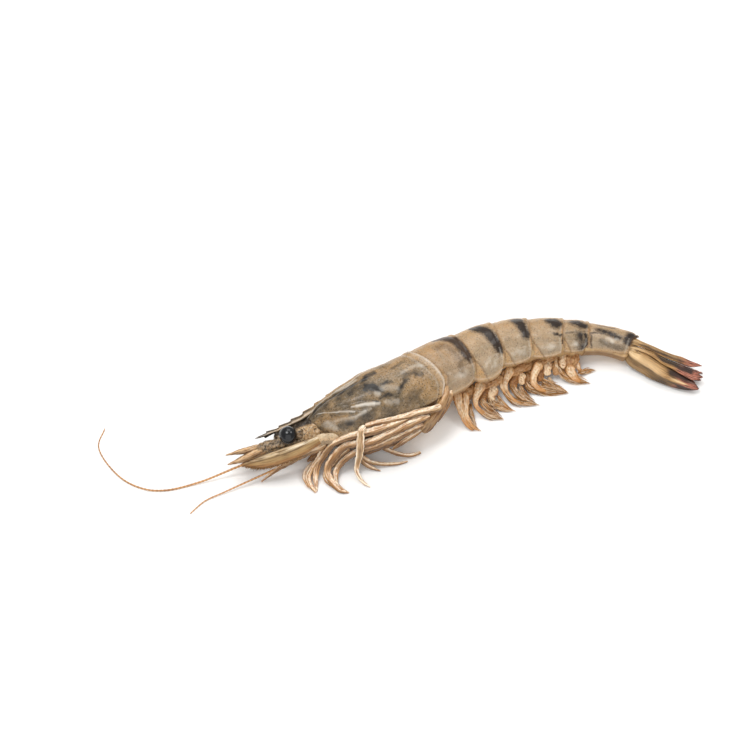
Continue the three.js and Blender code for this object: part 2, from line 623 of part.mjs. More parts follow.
// Each swimming leg: its stem, from the belly to where its two blades part, then each blade's middle
// and tip.
const SWIMMERS = {
  swimmer_1_left: {
    stem: [at(57.2, 6.4, -11.6), spot(-4.0, -5.6, 8.0)],
    blades: [[spot(-3.2, -10.4, 3.0), spot(-0.1, -15.0, 0.7)], [spot(-0.8, -10.2, 3.2), spot(2.9, -15.8, 0.7)]],
  },
  swimmer_2_left: {
    stem: [at(70.4, 6.4, -11.2), spot(3.0, -3.9, 6.5)],
    blades: [[spot(6.2, -8.9, 2.5), spot(13.3, -12.2, 0.7)], [spot(8.4, -7.0, 2.7), spot(12.9, -10.4, 0.9)]],
  },
  swimmer_3_left: {
    stem: [at(83.4, 6.0, -10.2), spot(15.8, 0.9, 6.0)],
    blades: [[spot(19.9, -4.9, 2.2), spot(29.2, -7.4, 0.7)], [spot(21.8, -3.1, 2.4), spot(28.0, -5.8, 0.9)]],
  },
  swimmer_4_left: {
    stem: [at(101.2, 5.8, -9.4), spot(29.0, 5.7, 5.5)],
    blades: [[spot(32.2, -0.2, 2.0), spot(42.9, -3.3, 0.7)], [spot(34.4, 2.0, 2.4), spot(41.8, -1.6, 0.9)]],
  },
  swimmer_5_left: {
    stem: [at(112.0, 5.2, -8.4), spot(42.1, 7.8, 4.5)],
    blades: [[spot(46.2, 2.3, 1.6), spot(52.6, -0.5, 0.7)], [spot(47.4, 3.9, 2.0), spot(52.2, 0.9, 0.9)]],
  },
  swimmer_1_right: {
    stem: [at(61.0, 0.0, -12.4), spot(1.6, -5.4, 2.4)],
    blades: [[spot(4.6, -8.6, 1.2), spot(8.6, -12.6, 0.6)]],
  },
  swimmer_2_right: {
    stem: [spot(11.8, 0.0, 5.2), spot(9.6, -2.4, 3.8)],
    blades: [[spot(13.2, -6.5, 1.5), spot(18.5, -8.4, 0.6)]],
  },
  swimmer_3_right: {
    stem: [spot(25.0, 5.0, 5.0), spot(22.6, 1.9, 3.8)],
    blades: [[spot(25.0, -1.6, 1.9), spot(31.6, -4.6, 0.6)]],
  },
  swimmer_4_right: {
    stem: [spot(39.2, 7.0, 4.2), spot(36.2, 5.0, 3.4)],
    blades: [[spot(38.8, 2.4, 1.9), spot(45.4, -0.6, 0.6)]],
  },
  swimmer_5_right: {
    stem: [spot(49.6, 8.9, 3.9), spot(49.4, 6.8, 2.9)],
    blades: [[spot(52.4, 5.6, 1.6), spot(57.4, 5.2, 0.6)]],
  },
};
for (const [name, { stem, blades }] of Object.entries(SWIMMERS)) {
  const options = { across: direction(80, 1, 0, 0), sides: 6 };
  const start = limb(stem, [1.5, 1.2], [1.0, 0.9], options);
  const blade = (ends) => limb([stem[1], ...ends], [1.2, 1.3, 0.25], [0.8, 0.6, 0.2], options);
  add(name, blades.reduce((whole, ends) => whole.add(blade(ends)), start), MATERIALS.limb);
}

const origin = onTable(REST.s, REST.reach);
for (const node of prawn.children) node.geometry.translate(-origin.x, -origin.y, 0);

prawn.updateMatrixWorld(true);
export default prawn;
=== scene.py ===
"""The looks of a raw tiger prawn lying on its right side on a pale table.

The prawn is drawn in body coordinates, as its solids are: s runs along the body axis from the rim of the
eye socket towards the tail, l points out of the left side, and d points out of the back. All lengths here
are millimetres, and turn to metres only where a mesh, a lamp or the camera is made.
"""

import bpy
import numpy as np
from mathutils import Matrix, Vector


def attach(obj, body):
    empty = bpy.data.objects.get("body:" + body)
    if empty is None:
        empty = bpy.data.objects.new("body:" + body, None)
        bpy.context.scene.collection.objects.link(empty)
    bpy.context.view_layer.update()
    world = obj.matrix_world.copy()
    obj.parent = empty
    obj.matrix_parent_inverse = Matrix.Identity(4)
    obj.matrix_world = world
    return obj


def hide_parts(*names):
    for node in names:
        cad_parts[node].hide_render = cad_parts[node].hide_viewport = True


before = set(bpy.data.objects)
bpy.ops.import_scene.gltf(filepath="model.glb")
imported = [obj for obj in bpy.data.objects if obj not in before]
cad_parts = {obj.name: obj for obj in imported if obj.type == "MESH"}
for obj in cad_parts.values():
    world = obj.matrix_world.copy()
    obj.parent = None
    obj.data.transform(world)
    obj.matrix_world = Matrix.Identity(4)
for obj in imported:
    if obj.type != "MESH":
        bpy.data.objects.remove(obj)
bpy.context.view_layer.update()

MM = 0.001
RANDOM = np.random.default_rng(7)

# ---------------------------------------------------------------- driving sizes, as the solids have them

AXIS_FROM, AXIS_TO, AXIS_STEP = -48.0, 182.0, 0.5
ORBIT = (-62.6, -10.8)  # the axis point at s = 0, before the origin moves under the head shell
REST_S, REST_REACH = 27.0, 3.6  # the origin: the middle of the flat under the head shell

# The axis bends by arcs: s, and its heading from +X in degrees.
HEADINGS = np.array(
    [(-34, 9.5), (17, 10), (46, 29), (62, 24), (92, 7.5), (117, -3.5), (137, -26), (149, -33.5), (176, -36)]
)

# s, roll in degrees, height of the axis, and from the axis to the back, to the belly and to the side.
STATIONS = np.array(
    [
        (-48, 34, 9.0, 2.0, 2.0, 2.0),
        (-34, 34, 9.5, 3.2, 4.0, 3.2),
        (0, 34, 12.4, 9.6, 10.0, 8.6),
        (12, 35, 13.4, 13.2, 15.4, 11.4),
        (24, 35, 13.9, 15.8, 17.2, 12.6),
        (40, 36, 13.8, 15.8, 15.4, 12.6),
        (52, 36, 13.4, 14.8, 11.2, 12.2),
        (67, 38, 12.8, 12.5, 10.0, 11.4),
        (84, 40, 12.2, 11.5, 9.4, 10.8),
        (98, 41, 11.0, 10.1, 8.7, 9.8),
        (114, 42, 9.4, 8.2, 8.0, 8.4),
        (124, 42, 7.9, 7.1, 7.4, 6.9),
        (143, 42, 6.0, 6.3, 6.6, 5.0),
        (158, 42, 4.4, 5.0, 5.0, 4.6),
        (182, 42, 2.6, 2.0, 2.0, 4.0),
    ]
)
ROLL, HEIGHT, BACK, BELLY, SIDE = 1, 2, 3, 4, 5

# The six plates of the tail: rear edge on the back, how far it bows at the sides, how deep the flap hangs.
PLATES = [
    (67.5, 0.6, 9.2),
    (83.5, -0.6, 10.4),
    (98.5, -1.6, 7.4),
    (113.8, -2.5, 6.7),
    (124.0, -0.3, 5.4),
    (144.3, -1.8, 0),
]
PLATE_STEP = 0.55  # how much a plate swells from its front edge to its rear edge
PLATE_LAP = 2.6  # how far it reaches under the one in front
PLATE_THICK = 0.45  # the thickness of its shell
EYE_S, EYE_L, EYE_D, EYE_RADIUS = -15.5, 6.6, 2.0, 3.7

# ---------------------------------------------------------------- body coordinates


def column(s, k):
    """Column k of STATIONS at s: a cubic between rows, sloping at each row as its neighbours do."""
    x, y = STATIONS[:, 0], STATIONS[:, k]
    row = np.arange(len(x))
    before, after = np.maximum(row - 1, 0), np.minimum(row + 1, len(x) - 1)
    slope = (y[after] - y[before]) / (x[after] - x[before])
    i = np.clip(np.searchsorted(x, s), 1, len(x) - 1)
    run = x[i] - x[i - 1]
    t = np.clip((s - x[i - 1]) / run, 0, 1)
    return (
        (2 * t**3 - 3 * t**2 + 1) * y[i - 1]
        + (t**3 - 2 * t**2 + t) * run * slope[i - 1]
        + (3 * t**2 - 2 * t**3) * y[i]
        + (t**3 - t**2) * run * slope[i]
    )


def heading(s):
    """The heading at s in radians, changing evenly between the rows of HEADINGS."""
    return np.radians(np.interp(s, HEADINGS[:, 0], HEADINGS[:, 1]))


def lay_axis():
    """The axis on the table: steps of AXIS_STEP along the heading, summed, with s = 0 at ORBIT."""
    middle = np.arange(AXIS_FROM, AXIS_TO, AXIS_STEP) + AXIS_STEP / 2
    step = AXIS_STEP * np.stack([np.cos(heading(middle)), np.sin(heading(middle))], -1)
    line = np.vstack([[0, 0], np.cumsum(step, 0)])
    return line - line[round(-AXIS_FROM / AXIS_STEP)] + ORBIT


AXIS = lay_axis()
AXIS_S = AXIS_FROM + AXIS_STEP * np.arange(len(AXIS))


def frame_at(s):
    """The axis point at s and the directions along, out of the back and out of the left side."""
    s = np.asarray(s, float)
    x, y = (np.interp(s, AXIS_S, AXIS[:, k]) for k in range(2))
    point = np.stack([x, y, column(s, HEIGHT)], -1)
    h, roll = heading(s), np.radians(column(s, ROLL))[..., None]
    along = np.stack([np.cos(h), np.sin(h), 0 * h], -1)
    away = np.stack([-np.sin(h), np.cos(h), 0 * h], -1)
    up = np.array([0.0, 0.0, 1.0])
    return point, along, away * np.cos(roll) + up * np.sin(roll), up * np.cos(roll) - away * np.sin(roll)


def on_table(s, reach):
    """The table's point at s, `reach` out from the axis on the belly's side."""
    h = heading(s)
    return frame_at(s)[0] * (1, 1, 0) - reach * np.array([-np.sin(h), np.cos(h), 0])


ORIGIN = on_table(REST_S, REST_REACH)


def at(s, l, d):
    """The point at s, l to the left of the axis and d out of the back."""
    s, l, d = np.broadcast_arrays(np.asarray(s, float), l, d)
    point, _, back, left = frame_at(s)
    return point + left * l[..., None] + back * d[..., None] - ORIGIN


def spot(x, y, z):
    """A point given on the table's own axes, before the origin moves under the head shell."""
    return np.array([x, y, z]) - ORIGIN


def unit(ways):
    """Directions made one long."""
    return ways / np.linalg.norm(ways, axis=-1, keepdims=True)


def direction(s, left, back):
    """A direction square to the axis at s, from its shares to the left and out of the back."""
    _, _, b, l = frame_at(s)
    return unit(l * left + b * back)


def smooth(x):
    """0 below 0, 1 above 1, and an even S between."""
    x = np.clip(x, 0, 1)
    return x * x * (3 - 2 * x)


def bell(x, width):
    """1 at x = 0, falling off as a bell of that half width."""
    return np.exp(-((x / width) ** 2))


def joined(*parts):
    """Arrays spread over one grid and joined as the last axis."""
    return np.stack(np.broadcast_arrays(*parts), -1)


def round_turn(count, start=0.0):
    """Even angles once round a ring, as one row."""
    return np.linspace(start, start + 2 * np.pi, count, endpoint=False)[None, :]


def over_table(points, clearance=0.02):
    """The points, with those nearer to the table than the clearance raised to it."""
    points[..., 2] = np.maximum(points[..., 2], clearance)
    return points


def outline(s, angle):
    """The body's skin, as l and d: an ellipse with full shoulders, fuller still below."""
    c, k = np.cos(angle), np.sin(angle)
    power = np.where(c > 0, 0.96, 0.82)
    l = column(s, SIDE) * np.sign(k) * np.abs(k) ** power
    d = np.where(c > 0, column(s, BACK), column(s, BELLY)) * np.sign(c) * np.abs(c) ** power
    return l, d


RIPPLE_WAVES = 9


def ripple(points, wave, seed):
    """A smooth uneven field, mostly between -1 and 1: the sum of plane sine waves about that long, each its
    own way, over the root of twice their number."""
    draw = np.random.default_rng(seed)
    ways = draw.normal(size=(RIPPLE_WAVES, 3))
    ways *= (draw.uniform(0.6, 1.6, RIPPLE_WAVES) * 2 * np.pi / wave / np.linalg.norm(ways, axis=1))[:, None]
    phase = draw.uniform(0, 2 * np.pi, RIPPLE_WAVES)
    return np.sin(points @ ways.T + phase).sum(-1) / np.sqrt(RIPPLE_WAVES * 2)


# ---------------------------------------------------------------- surfaces


class Surface:
    """Points with quads over them. `marks` are four shares a point, read by the materials as pigment,
    paleness, among it painted highlights, warmth, and shade, mostly painted shade, `straight` is each point's
    place on the straightened piece, and `material` is the surface's place in its piece's list of materials."""

    def __init__(self, points, quads, marks, straight, material=0):
        self.points, self.quads, self.marks = points.reshape(-1, 3), quads, marks.reshape(-1, 4)
        self.straight, self.material = straight.reshape(-1, 3), material


def lattice(index):
    """Quads over a grid of vertex numbers."""
    return np.stack([index[:-1, :-1], index[1:, :-1], index[1:, 1:], index[:-1, 1:]], -1).reshape(-1, 4)


def strip(a, b):
    """Quads between two rows of vertex numbers."""
    return np.stack([a[:-1], b[:-1], b[1:], a[1:]], -1)


def marks_on(shape, dark=0.0, pale=0.0, warm=0.0, shade=0.0):
    """The four marks over a grid of that shape, each a number or an array."""
    return np.stack([np.zeros(shape) + mark for mark in (dark, pale, warm, shade)], -1)


def tube(points, marks, straight, material=0):
    """A closed skin over rings: the last column joins the first, and each end runs in to its middle."""

    def capped(rows):
        middles = rows[[0, -1]].mean(1, keepdims=True) + 0 * rows[[0, -1]]
        return np.concatenate([middles[:1], rows, middles[1:]])

    points, marks, straight = capped(points), capped(marks), capped(straight)
    index = np.arange(points.shape[0] * points.shape[1]).reshape(points.shape[:2])
    return Surface(points, lattice(np.hstack([index, index[:, :1]])), marks, straight, material)


def slab(outer, inner, marks, straight):
    """A closed thin solid: two faces over the same grid, joined along their four borders."""
    top = np.arange(outer.shape[0] * outer.shape[1]).reshape(outer.shape[:2])
    low = top + top.size
    quads = [
        lattice(top),
        lattice(low)[:, ::-1],
        strip(low[0], top[0]),
        strip(top[-1], low[-1]),
        strip(top[:, 0], low[:, 0]),
        strip(low[:, -1], top[:, -1]),
    ]
    both = [np.stack([part, part]) for part in (marks, straight)]
    return Surface(np.stack([outer, inner]), np.concatenate(quads), *both)


WELD_DECIMALS = 3  # vertices that agree to this many decimals of a millimetre become one


def weld(surface):
    """The surface with its meeting vertices joined and its faces turned to point out."""
    rounded = np.round(surface.points, WELD_DECIMALS)
    _, first, inverse = np.unique(rounded, axis=0, return_index=True, return_inverse=True)
    quads = inverse.reshape(-1)[surface.quads]
    points = surface.points[first]
    a, b, c, e = (points[quads[:, i]] for i in range(4))
    volume = (np.cross(b - a, c - a) * a).sum() + (np.cross(c - a, e - a) * a).sum()
    if volume < 0:
        quads = quads[:, ::-1]
    return points, quads, surface.marks[first], surface.straight[first]


def piece(name, surfaces, materials, nodes):
    """One object from several surfaces, each in its own material, standing for the given nodes of the frame.
    Corners that the weld joined drop out of their faces, and faces left with two corners drop out whole."""
    points, quads, marks, straight, finish = [], [], [], [], []
    total = 0
    for surface in surfaces:
        p, q, m, r = weld(surface)
        points.append(p)
        quads.append(q + total)
        marks.append(m)
        straight.append(r)
        finish.append(np.full(len(q), surface.material))
        total += len(p)
    quads, finish = np.concatenate(quads), np.concatenate(finish)
    corners = quads != np.roll(quads, 1, axis=1)
    kept = corners.sum(1) >= 3
    quads, corners, finish = quads[kept], corners[kept], finish[kept]
    sizes = corners.sum(1)
    mesh = bpy.data.meshes.new(name)
    mesh.vertices.add(total)
    mesh.vertices.foreach_set("co", (np.concatenate(points) * MM).astype(np.float32).ravel())
    mesh.loops.add(int(sizes.sum()))
    mesh.loops.foreach_set("vertex_index", quads[corners].astype(np.int32))
    mesh.polygons.add(len(sizes))
    mesh.polygons.foreach_set("loop_start", np.concatenate([[0], np.cumsum(sizes)[:-1]]).astype(np.int32))
    mesh.polygons.foreach_set("material_index", finish.astype(np.int32))
    mesh.polygons.foreach_set("use_smooth", np.ones(len(sizes), bool))
    layer = mesh.attributes.new("marks", "FLOAT_COLOR", "POINT")
    layer.data.foreach_set("color", np.clip(np.concatenate(marks), 0, 1).astype(np.float32).ravel())
    layer = mesh.attributes.new("straight", "FLOAT_VECTOR", "POINT")
    layer.data.foreach_set("vector", np.concatenate(straight).astype(np.float32).ravel())
    for material in materials:
        mesh.materials.append(material)
    mesh.update(calc_edges=True)
    made = bpy.data.objects.new(name, mesh)
    bpy.context.scene.collection.objects.link(made)
    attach(made, "root")
    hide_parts(*nodes)
    return made


# ---------------------------------------------------------------- strokes of pigment on the skin


def stroke(s, angle, line, width, girth):
    """How near the skin's points lie to a line of (s, degrees): a bell of that half width along the skin.
    The girth is the millimetres of skin to a radian round the axis."""
    x, y = s, np.abs(angle) * girth
    ends = [(a, np.radians(b) * girth) for a, b in line]
    nearest = np.full(np.broadcast(x, y).shape, 1e9)
    for (x0, y0), (x1, y1) in zip(ends, ends[1:]):
        run = (x1 - x0) ** 2 + (y1 - y0) ** 2
        t = np.clip(((x - x0) * (x1 - x0) + (y - y0) * (y1 - y0)) / run, 0, 1)
        nearest = np.minimum(nearest, np.hypot(x - x0 - t * (x1 - x0), y - y0 - t * (y1 - y0)))
    return bell(nearest, width)


def strokes(s, angle, rows, girth):
    """The strongest of several strokes at each point: rows of strength, half width and line."""
    return np.max([strength * stroke(s, angle, line, width, girth) for strength, width, line in rows], axis=0)


# ---------------------------------------------------------------- head shell

SHELL_GIRTH = 13.5
# Strokes of dark pigment, pale strokes and strokes of warm skin: strength, half width and a line of
# (s, degrees). Some dark and pale strokes are painted shade and painted highlights, as noted by them.
SHELL_DARK = [
    (1.1, 1.7, [(-5, 14), (1, 19), (8, 23), (15, 28), (20.5, 27), (26, 24)]),
    (0.42, 7.0, [(0, 64), (8, 68), (18, 74)]),
    (0.3, 5.0, [(24, 100), (34, 98)]),
    (0.9, 1.4, [(12, 30), (18, 29), (23, 28)]),
    (0.6, 3.0, [(-3.2, 27), (1.2, 34), (6.5, 37), (12, 41), (18, 42)]),
    (1.3, 2.2, [(20.5, 49), (22.4, 55), (24.2, 60)]),
    (0.7, 0.9, [(26.2, 53), (31.2, 58)]),
    (0.8, 1.3, [(25.2, 75), (30.0, 78), (33.8, 72), (36.4, 65)]),
    (0.65, 1.2, [(35.0, 35), (39.5, 33)]),
    (0.65, 1.5, [(37.2, 58), (41.2, 60), (42.6, 66)]),
    (0.8, 0.55, [(18.6, 70), (22.2, 78)]),
    (0.5, 2.0, [(2.0, 47), (7, 56), (12.2, 62), (15, 62)]),
    (0.45, 2.0, [(8, 48), (14, 52), (18, 54)]),
    (0.8, 1.5, [(5.6, 94), (10.2, 93), (16.0, 93), (20.0, 90)]),
    # a thin dark line under a pressed ridge: painted shade
    (0.6, 0.4, [(-2.5, 43), (3.0, 68), (8.5, 78), (13.8, 83), (19.5, 85)]),
    (0.8, 0.5, [(-2, 84), (0, 102), (1.5, 123)]),
    (0.5, 3.0, [(20, 96), (31, 94), (38, 93)]),
]
SHELL_PALE = [
    (0.6, 0.45, [(11.7, 70.5), (14.0, 72.2)]),
    (0.95, 0.8, [(14.0, 72.2), (17.5, 76), (20.5, 79)]),
    (0.6, 0.6, [(20.5, 79), (22.6, 80.5)]),
    (0.6, 0.7, [(12.2, 88.5), (14.2, 87), (16.5, 86)]),
    (0.4, 0.6, [(15.5, 86.5), (19.0, 84.5)]),
    (0.32, 1.3, [(4.0, 84), (8.0, 87), (11.5, 89)]),
    # the next three: a painted highlight, a sheen on the shell's upper rear
    (0.2, 1.4, [(32.0, 55), (35.8, 52)]),
    (0.3, 1.0, [(36.5, 51), (40.5, 50)]),
    (0.4, 1.2, [(41.4, 50), (43.4, 51), (45.6, 56)]),
    (0.35, 1.6, [(25.8, 61), (28.5, 65), (31.5, 70)]),
    (0.5, 1.0, [(22.6, 66), (24.0, 68)]),
    (0.35, 1.2, [(25.4, 84), (29.5, 88)]),
    (0.55, 0.9, [(9.0, 12), (13, 17), (18, 18)]),
    # a pale line along the top of a pressed ridge: painted highlight
    (0.6, 0.45, [(-1.2, 42), (3.2, 62), (8.8, 74), (12.0, 79)]),
    (0.4, 2.2, [(0.3, 82), (1.8, 89), (2.6, 94)]),
    (0.3, 1.7, [(46.5, 26), (48.6, 48), (49.8, 70), (50.0, 90), (48.6, 108)]),
    # a thin painted highlight along the back
    (0.6, 0.5, [(-6, 8), (2, 10), (10, 13), (20, 9), (30, 4), (45, 2)]),
]
SHELL_WARM = [
    (0.8, 1.6, [(-5, 2), (10, 4), (22, 3), (34, 2), (46, 2)]),
    (0.7, 2.6, [(24, 12), (30, 32), (35, 28), (42, 18), (47, 30)]),
    (0.2, 1.6, [(46.5, 40), (48.5, 66), (48.8, 87), (48.2, 107), (45.5, 118)]),
    (0.7, 1.6, [(-4.6, 62), (-1.2, 66), (4.2, 80), (8.2, 86)]),
    (0.6, 2.4, [(-3, 96), (2, 108), (6, 118)]),
    (0.55, 4.0, [(41, 72), (43, 84), (43, 96)]),
]


def shell_front(angle):
    """The front rim's s at an angle from the back."""
    return -5.5 + 6 * np.sin(angle / 2) ** 2


def shell_rear(angle):
    """The rear edge's s: it bows back at the cheek and is cut away below."""
    return 48 + 3.5 * np.sin(angle) ** 2 - 17 * np.maximum(0, -np.cos(angle)) ** 1.6


SHELL_HEM = -6.4  # the depth d at which the shell's lower edge stands over the leg roots
# Ridges and grooves pressed into the shell: height, half width and a line of (s, degrees).
SHELL_RELIEF = [
    (-0.45, 1.1, [(-6, 16), (10, 21), (24, 26), (32, 27)]),
    (0.4, 0.55, [(-3, 36), (4, 68), (11, 80), (17, 86)]),
    (0.5, 0.8, [(11.7, 70.5), (15, 73), (22, 80)]),
    (0.4, 0.8, [(9.5, 91), (14, 87), (18, 85)]),
    (0.5, 1.5, [(0.3, 80), (1.8, 89), (3.2, 96)]),
    (-0.45, 1.3, [(2, 52), (10, 63), (18, 70), (24, 78)]),
    (-0.25, 1.0, [(0, 88), (8, 100)]),
]


def head_shell():
    """The shell over the head. Ring by ring the body's outline, drawn in at the nose by a falling power, with
    relief along its own outward way: the keel, the pressed ridges, the hem, the front rim and the rear
    border. The rings lie closer together at both ends."""
    even = np.linspace(0, 1, 250)
    along = (0.3 * (1 - np.cos(np.pi * even)) + 0.4 * even)[:, None]
    angle = round_turn(280, -np.pi)
    front, rear = shell_front(angle), shell_rear(angle)
    s = front + along * (rear - front)
    angle = angle + 0 * s
    l, d = outline(s, angle)
    nose = 1 - 0.42 * (1 - np.clip(along / 0.2, 0, 1)) ** 2.4
    l, d = l * nose, d * nose
    side = np.abs(angle)
    keel = 0.9 * bell(angle, 0.2) * (1 - smooth((along - 0.36) / 0.42))
    girth = SHELL_GIRTH
    pressed = sum(height * stroke(s, angle, line, width, girth) for height, width, line in SHELL_RELIEF)
    from_rear = (rear - s) * (side < 2.5) + 9.0 * (side >= 2.5)
    border = 0.14 * smooth((2.6 - from_rear) / 0.8) - 0.20 * bell(from_rear - 3.0, 0.7)
    rim = 0.25 * bell(s - front - 0.6, 0.6) * smooth((side - 0.5) / 0.4)
    hem = -0.75 * smooth((SHELL_HEM - d) / 0.5) + 0.2 * bell(d - SHELL_HEM - 0.9, 0.7)
    flat = np.stack([s, l, d], -1)
    uneven = 0.12 * ripple(flat, 9.0, 3) + 0.05 * ripple(flat, 2.6, 4)
    out = keel + pressed + border + rim + hem + uneven
    size = np.hypot(l, d) + 1e-6
    l, d = l * (1 + out / size), d * (1 + out / size)
    # below the hem, where the shell runs in behind the leg roots, it takes painted shade
    under = smooth((SHELL_HEM + 0.2 - d) / 0.5)
    blotch = 0.5 + 0.5 * ripple(flat, 5.0, 5)
    cloud_s = s + 0.9 * ripple(flat, 3.5, 6) + 0.3 * ripple(flat, 1.6, 7)
    cloud_angle = angle + (0.6 * ripple(flat, 5.0, 8) + 0.3 * ripple(flat, 1.7, 9)) / girth
    smooth_s, smooth_angle = s + 0.25 * ripple(flat, 3.0, 6), angle + 0.2 * ripple(flat, 4.0, 8) / girth
    marks = marks_on(
        s.shape,
        dark=strokes(cloud_s, cloud_angle, SHELL_DARK, girth) * (0.45 + 0.7 * blotch),
        pale=strokes(smooth_s, smooth_angle, SHELL_PALE, girth) * (0.75 + 0.3 * blotch)
        + (0.35 * bell(from_rear - 0.7, 0.5) + 0.22 * bell(from_rear - 4.2, 0.9)) * (1 - under),
        warm=strokes(cloud_s, cloud_angle, SHELL_WARM, girth) + 0.5 * smooth((4.5 - from_rear) / 2.5),
        shade=under,
    )
    return tube(over_table(at(s, l, d), 0), marks, np.stack([s, l, d], -1))


# The beak, from its tip back to where it runs out on the shell: the height of its edge over the axis, half
# its depth, and the s of the teeth along its upper and lower edges.
BEAK_TIP, BEAK_ROOT = -28.3, 12.0
BEAK_RISE = [5.1, 5.9, 7.6, 10.7, 13.7]
BEAK_HALF = [0.3, 0.9, 1.5, 2.0, 1.4]
UPPER_TEETH = np.array([-20, -14.5, -9, -3.5, 2, 7.5])
LOWER_TEETH = np.array([-22, -17])


def teeth(s, roots, length, height):
    """Forward-leaning teeth along an edge: each climbs slowly from behind and drops steeply at its tip."""
    back = s[..., None] - (roots - length)
    reach = length + 1.6
    rise = np.where((back > 0) & (back < reach), 1 - back / reach, 0) * smooth(back / 0.35)
    return height * rise.max(-1)


def beak():
    """The blade in front of the shell: upright lens sections with toothed edges and a rib on each side."""
    s = np.linspace(BEAK_TIP, BEAK_ROOT, 260)[:, None]
    turn = round_turn(28)
    stops = np.linspace(BEAK_TIP, BEAK_ROOT, len(BEAK_RISE))
    top, half = np.interp(s, stops, BEAK_RISE), np.interp(s, stops, BEAK_HALF)
    point = smooth((s - BEAK_TIP) / 2.5) ** 0.5
    c, k = np.cos(turn), np.sin(turn)
    upper = teeth(s, UPPER_TEETH, 3.0, 0.7) * (c > 0.2) * c
    lower = teeth(s, LOWER_TEETH, 2.2, 0.8) * (c < -0.2) * c
    d = top - half + half * np.sign(c) * np.abs(c) ** 1.1 * point + upper + lower
    rib = 0.35 * bell(c - 0.05, 0.28) * np.sign(k)
    l = (0.25 + 0.42 * half) * k * np.abs(k) ** 0.3 * point + rib * point * np.minimum(half, 1)
    marks = marks_on(
        (s + c).shape,
        dark=1.2 * bell(c + 0.65, 0.4)
        + 0.9 * bell(c - 0.75, 0.2) * smooth((2 - s) / 8)
        + 0.5 * smooth((-18 - s) / 8),
        pale=0.55 * bell(c - 0.15, 0.25),
        warm=0.8 * smooth((c - 0.6) / 0.3) + 0.7 * bell(c - 0.1, 0.5),
    )
    return tube(at(s, l, d), marks, joined(s, l, d))


# ---------------------------------------------------------------- tail plates

PLATE_GIRTH = 11.0
# Each plate's dark bands, as strokes: strength, half width and a line of (s, degrees). On plate 1 one
# stroke is a painted shadow.
BANDS = [
    [
        (1.5, 1.0, [(59.5, 8), (62.5, 14), (64.5, 22)]),
        (1.5, 2.2, [(62.8, 14), (65.0, 30), (65.6, 48), (65.9, 64), (66.1, 76)]),
        # a soft grey arc behind the head shell's edge: painted shadow, speckled
        (0.42, 2.0, [(56.8, 39), (60.5, 38), (61.5, 58), (61.8, 80), (60.2, 97)]),
    ],
    [
        (1.6, 1.1, [(75, 10), (77.2, 22)]),
        (1.5, 2.3, [(76.8, 22), (79.0, 36), (79.8, 55), (80.6, 70), (81.4, 82)]),
    ],
    [
        (1.5, 2.5, [(93.6, 20), (94.4, 32)]),
        (1.4, 2.2, [(94.3, 36), (94.6, 50), (95.1, 66)]),
    ],
    [
        (1.6, 2.9, [(108.3, 27), (109.5, 40)]),
        (1.0, 0.9, [(107.8, 71), (111.2, 75)]),
        (1.1, 0.5, [(111.5, 77), (110.8, 98)]),
    ],
    [
        (1.3, 3.0, [(118.2, 24), (119.4, 31), (120.8, 38)]),
        (0.55, 0.7, [(113.0, 67), (116.2, 66), (119.5, 63), (123, 60)]),
        (0.9, 2.8, [(119.6, 74), (119.8, 95), (120.2, 118)]),
        (1.2, 1.2, [(122.0, 72), (122.2, 95), (122.4, 118)]),
    ],
    [
        (0.8, 0.8, [(123.5, 66), (125.5, 60), (128, 56), (131, 57)]),
        (1.0, 2.5, [(128.5, 44), (131.5, 49), (134, 55), (136, 59)]),
        (0.55, 2.3, [(130, 86), (134, 93), (139, 92)]),
        (0.8, 0.5, [(124.6, 70), (124.6, 90), (124.8, 110)]),
        (1.6, 3.0, [(142.8, 22), (142.6, 40), (142.0, 54), (141.6, 64)]),
        (0.7, 1.1, [(128, 14), (134, 18)]),
    ],
]


def plate_rear(k, angle):
    """The rear edge of plate k at an angle from the back; -1 is the head shell."""
    if k < 0:
        return shell_rear(angle)
    rear, bow, _ = PLATES[k]
    return rear + bow * np.sin(angle) ** 2 - 2.2 * np.maximum(0, -np.cos(angle)) ** 2


def plate_profile(s, v, tip):
    """A plate's section, as l and d. v is 0 on the back and 1 on the left side, along the body's outline, and
    from there to 2 the flap hangs to the depth `tip`, tucked in as the square of its depth. The right flap,
    which the prawn lies on, is tucked in further."""
    side, w = np.sign(v), np.abs(v)
    above_l, above_d = outline(s, np.minimum(w, 1) * np.pi / 2)
    hang = np.clip(w - 1, 0, 1)
    tuck = np.where(side > 0, 0.16, 0.42)
    hung_l = column(s, SIDE) * (1 - tuck * hang**2)
    l = np.where(w <= 1, above_l, hung_l)
    d = np.where(w <= 1, above_d, -hang * tip)
    return side * l, d


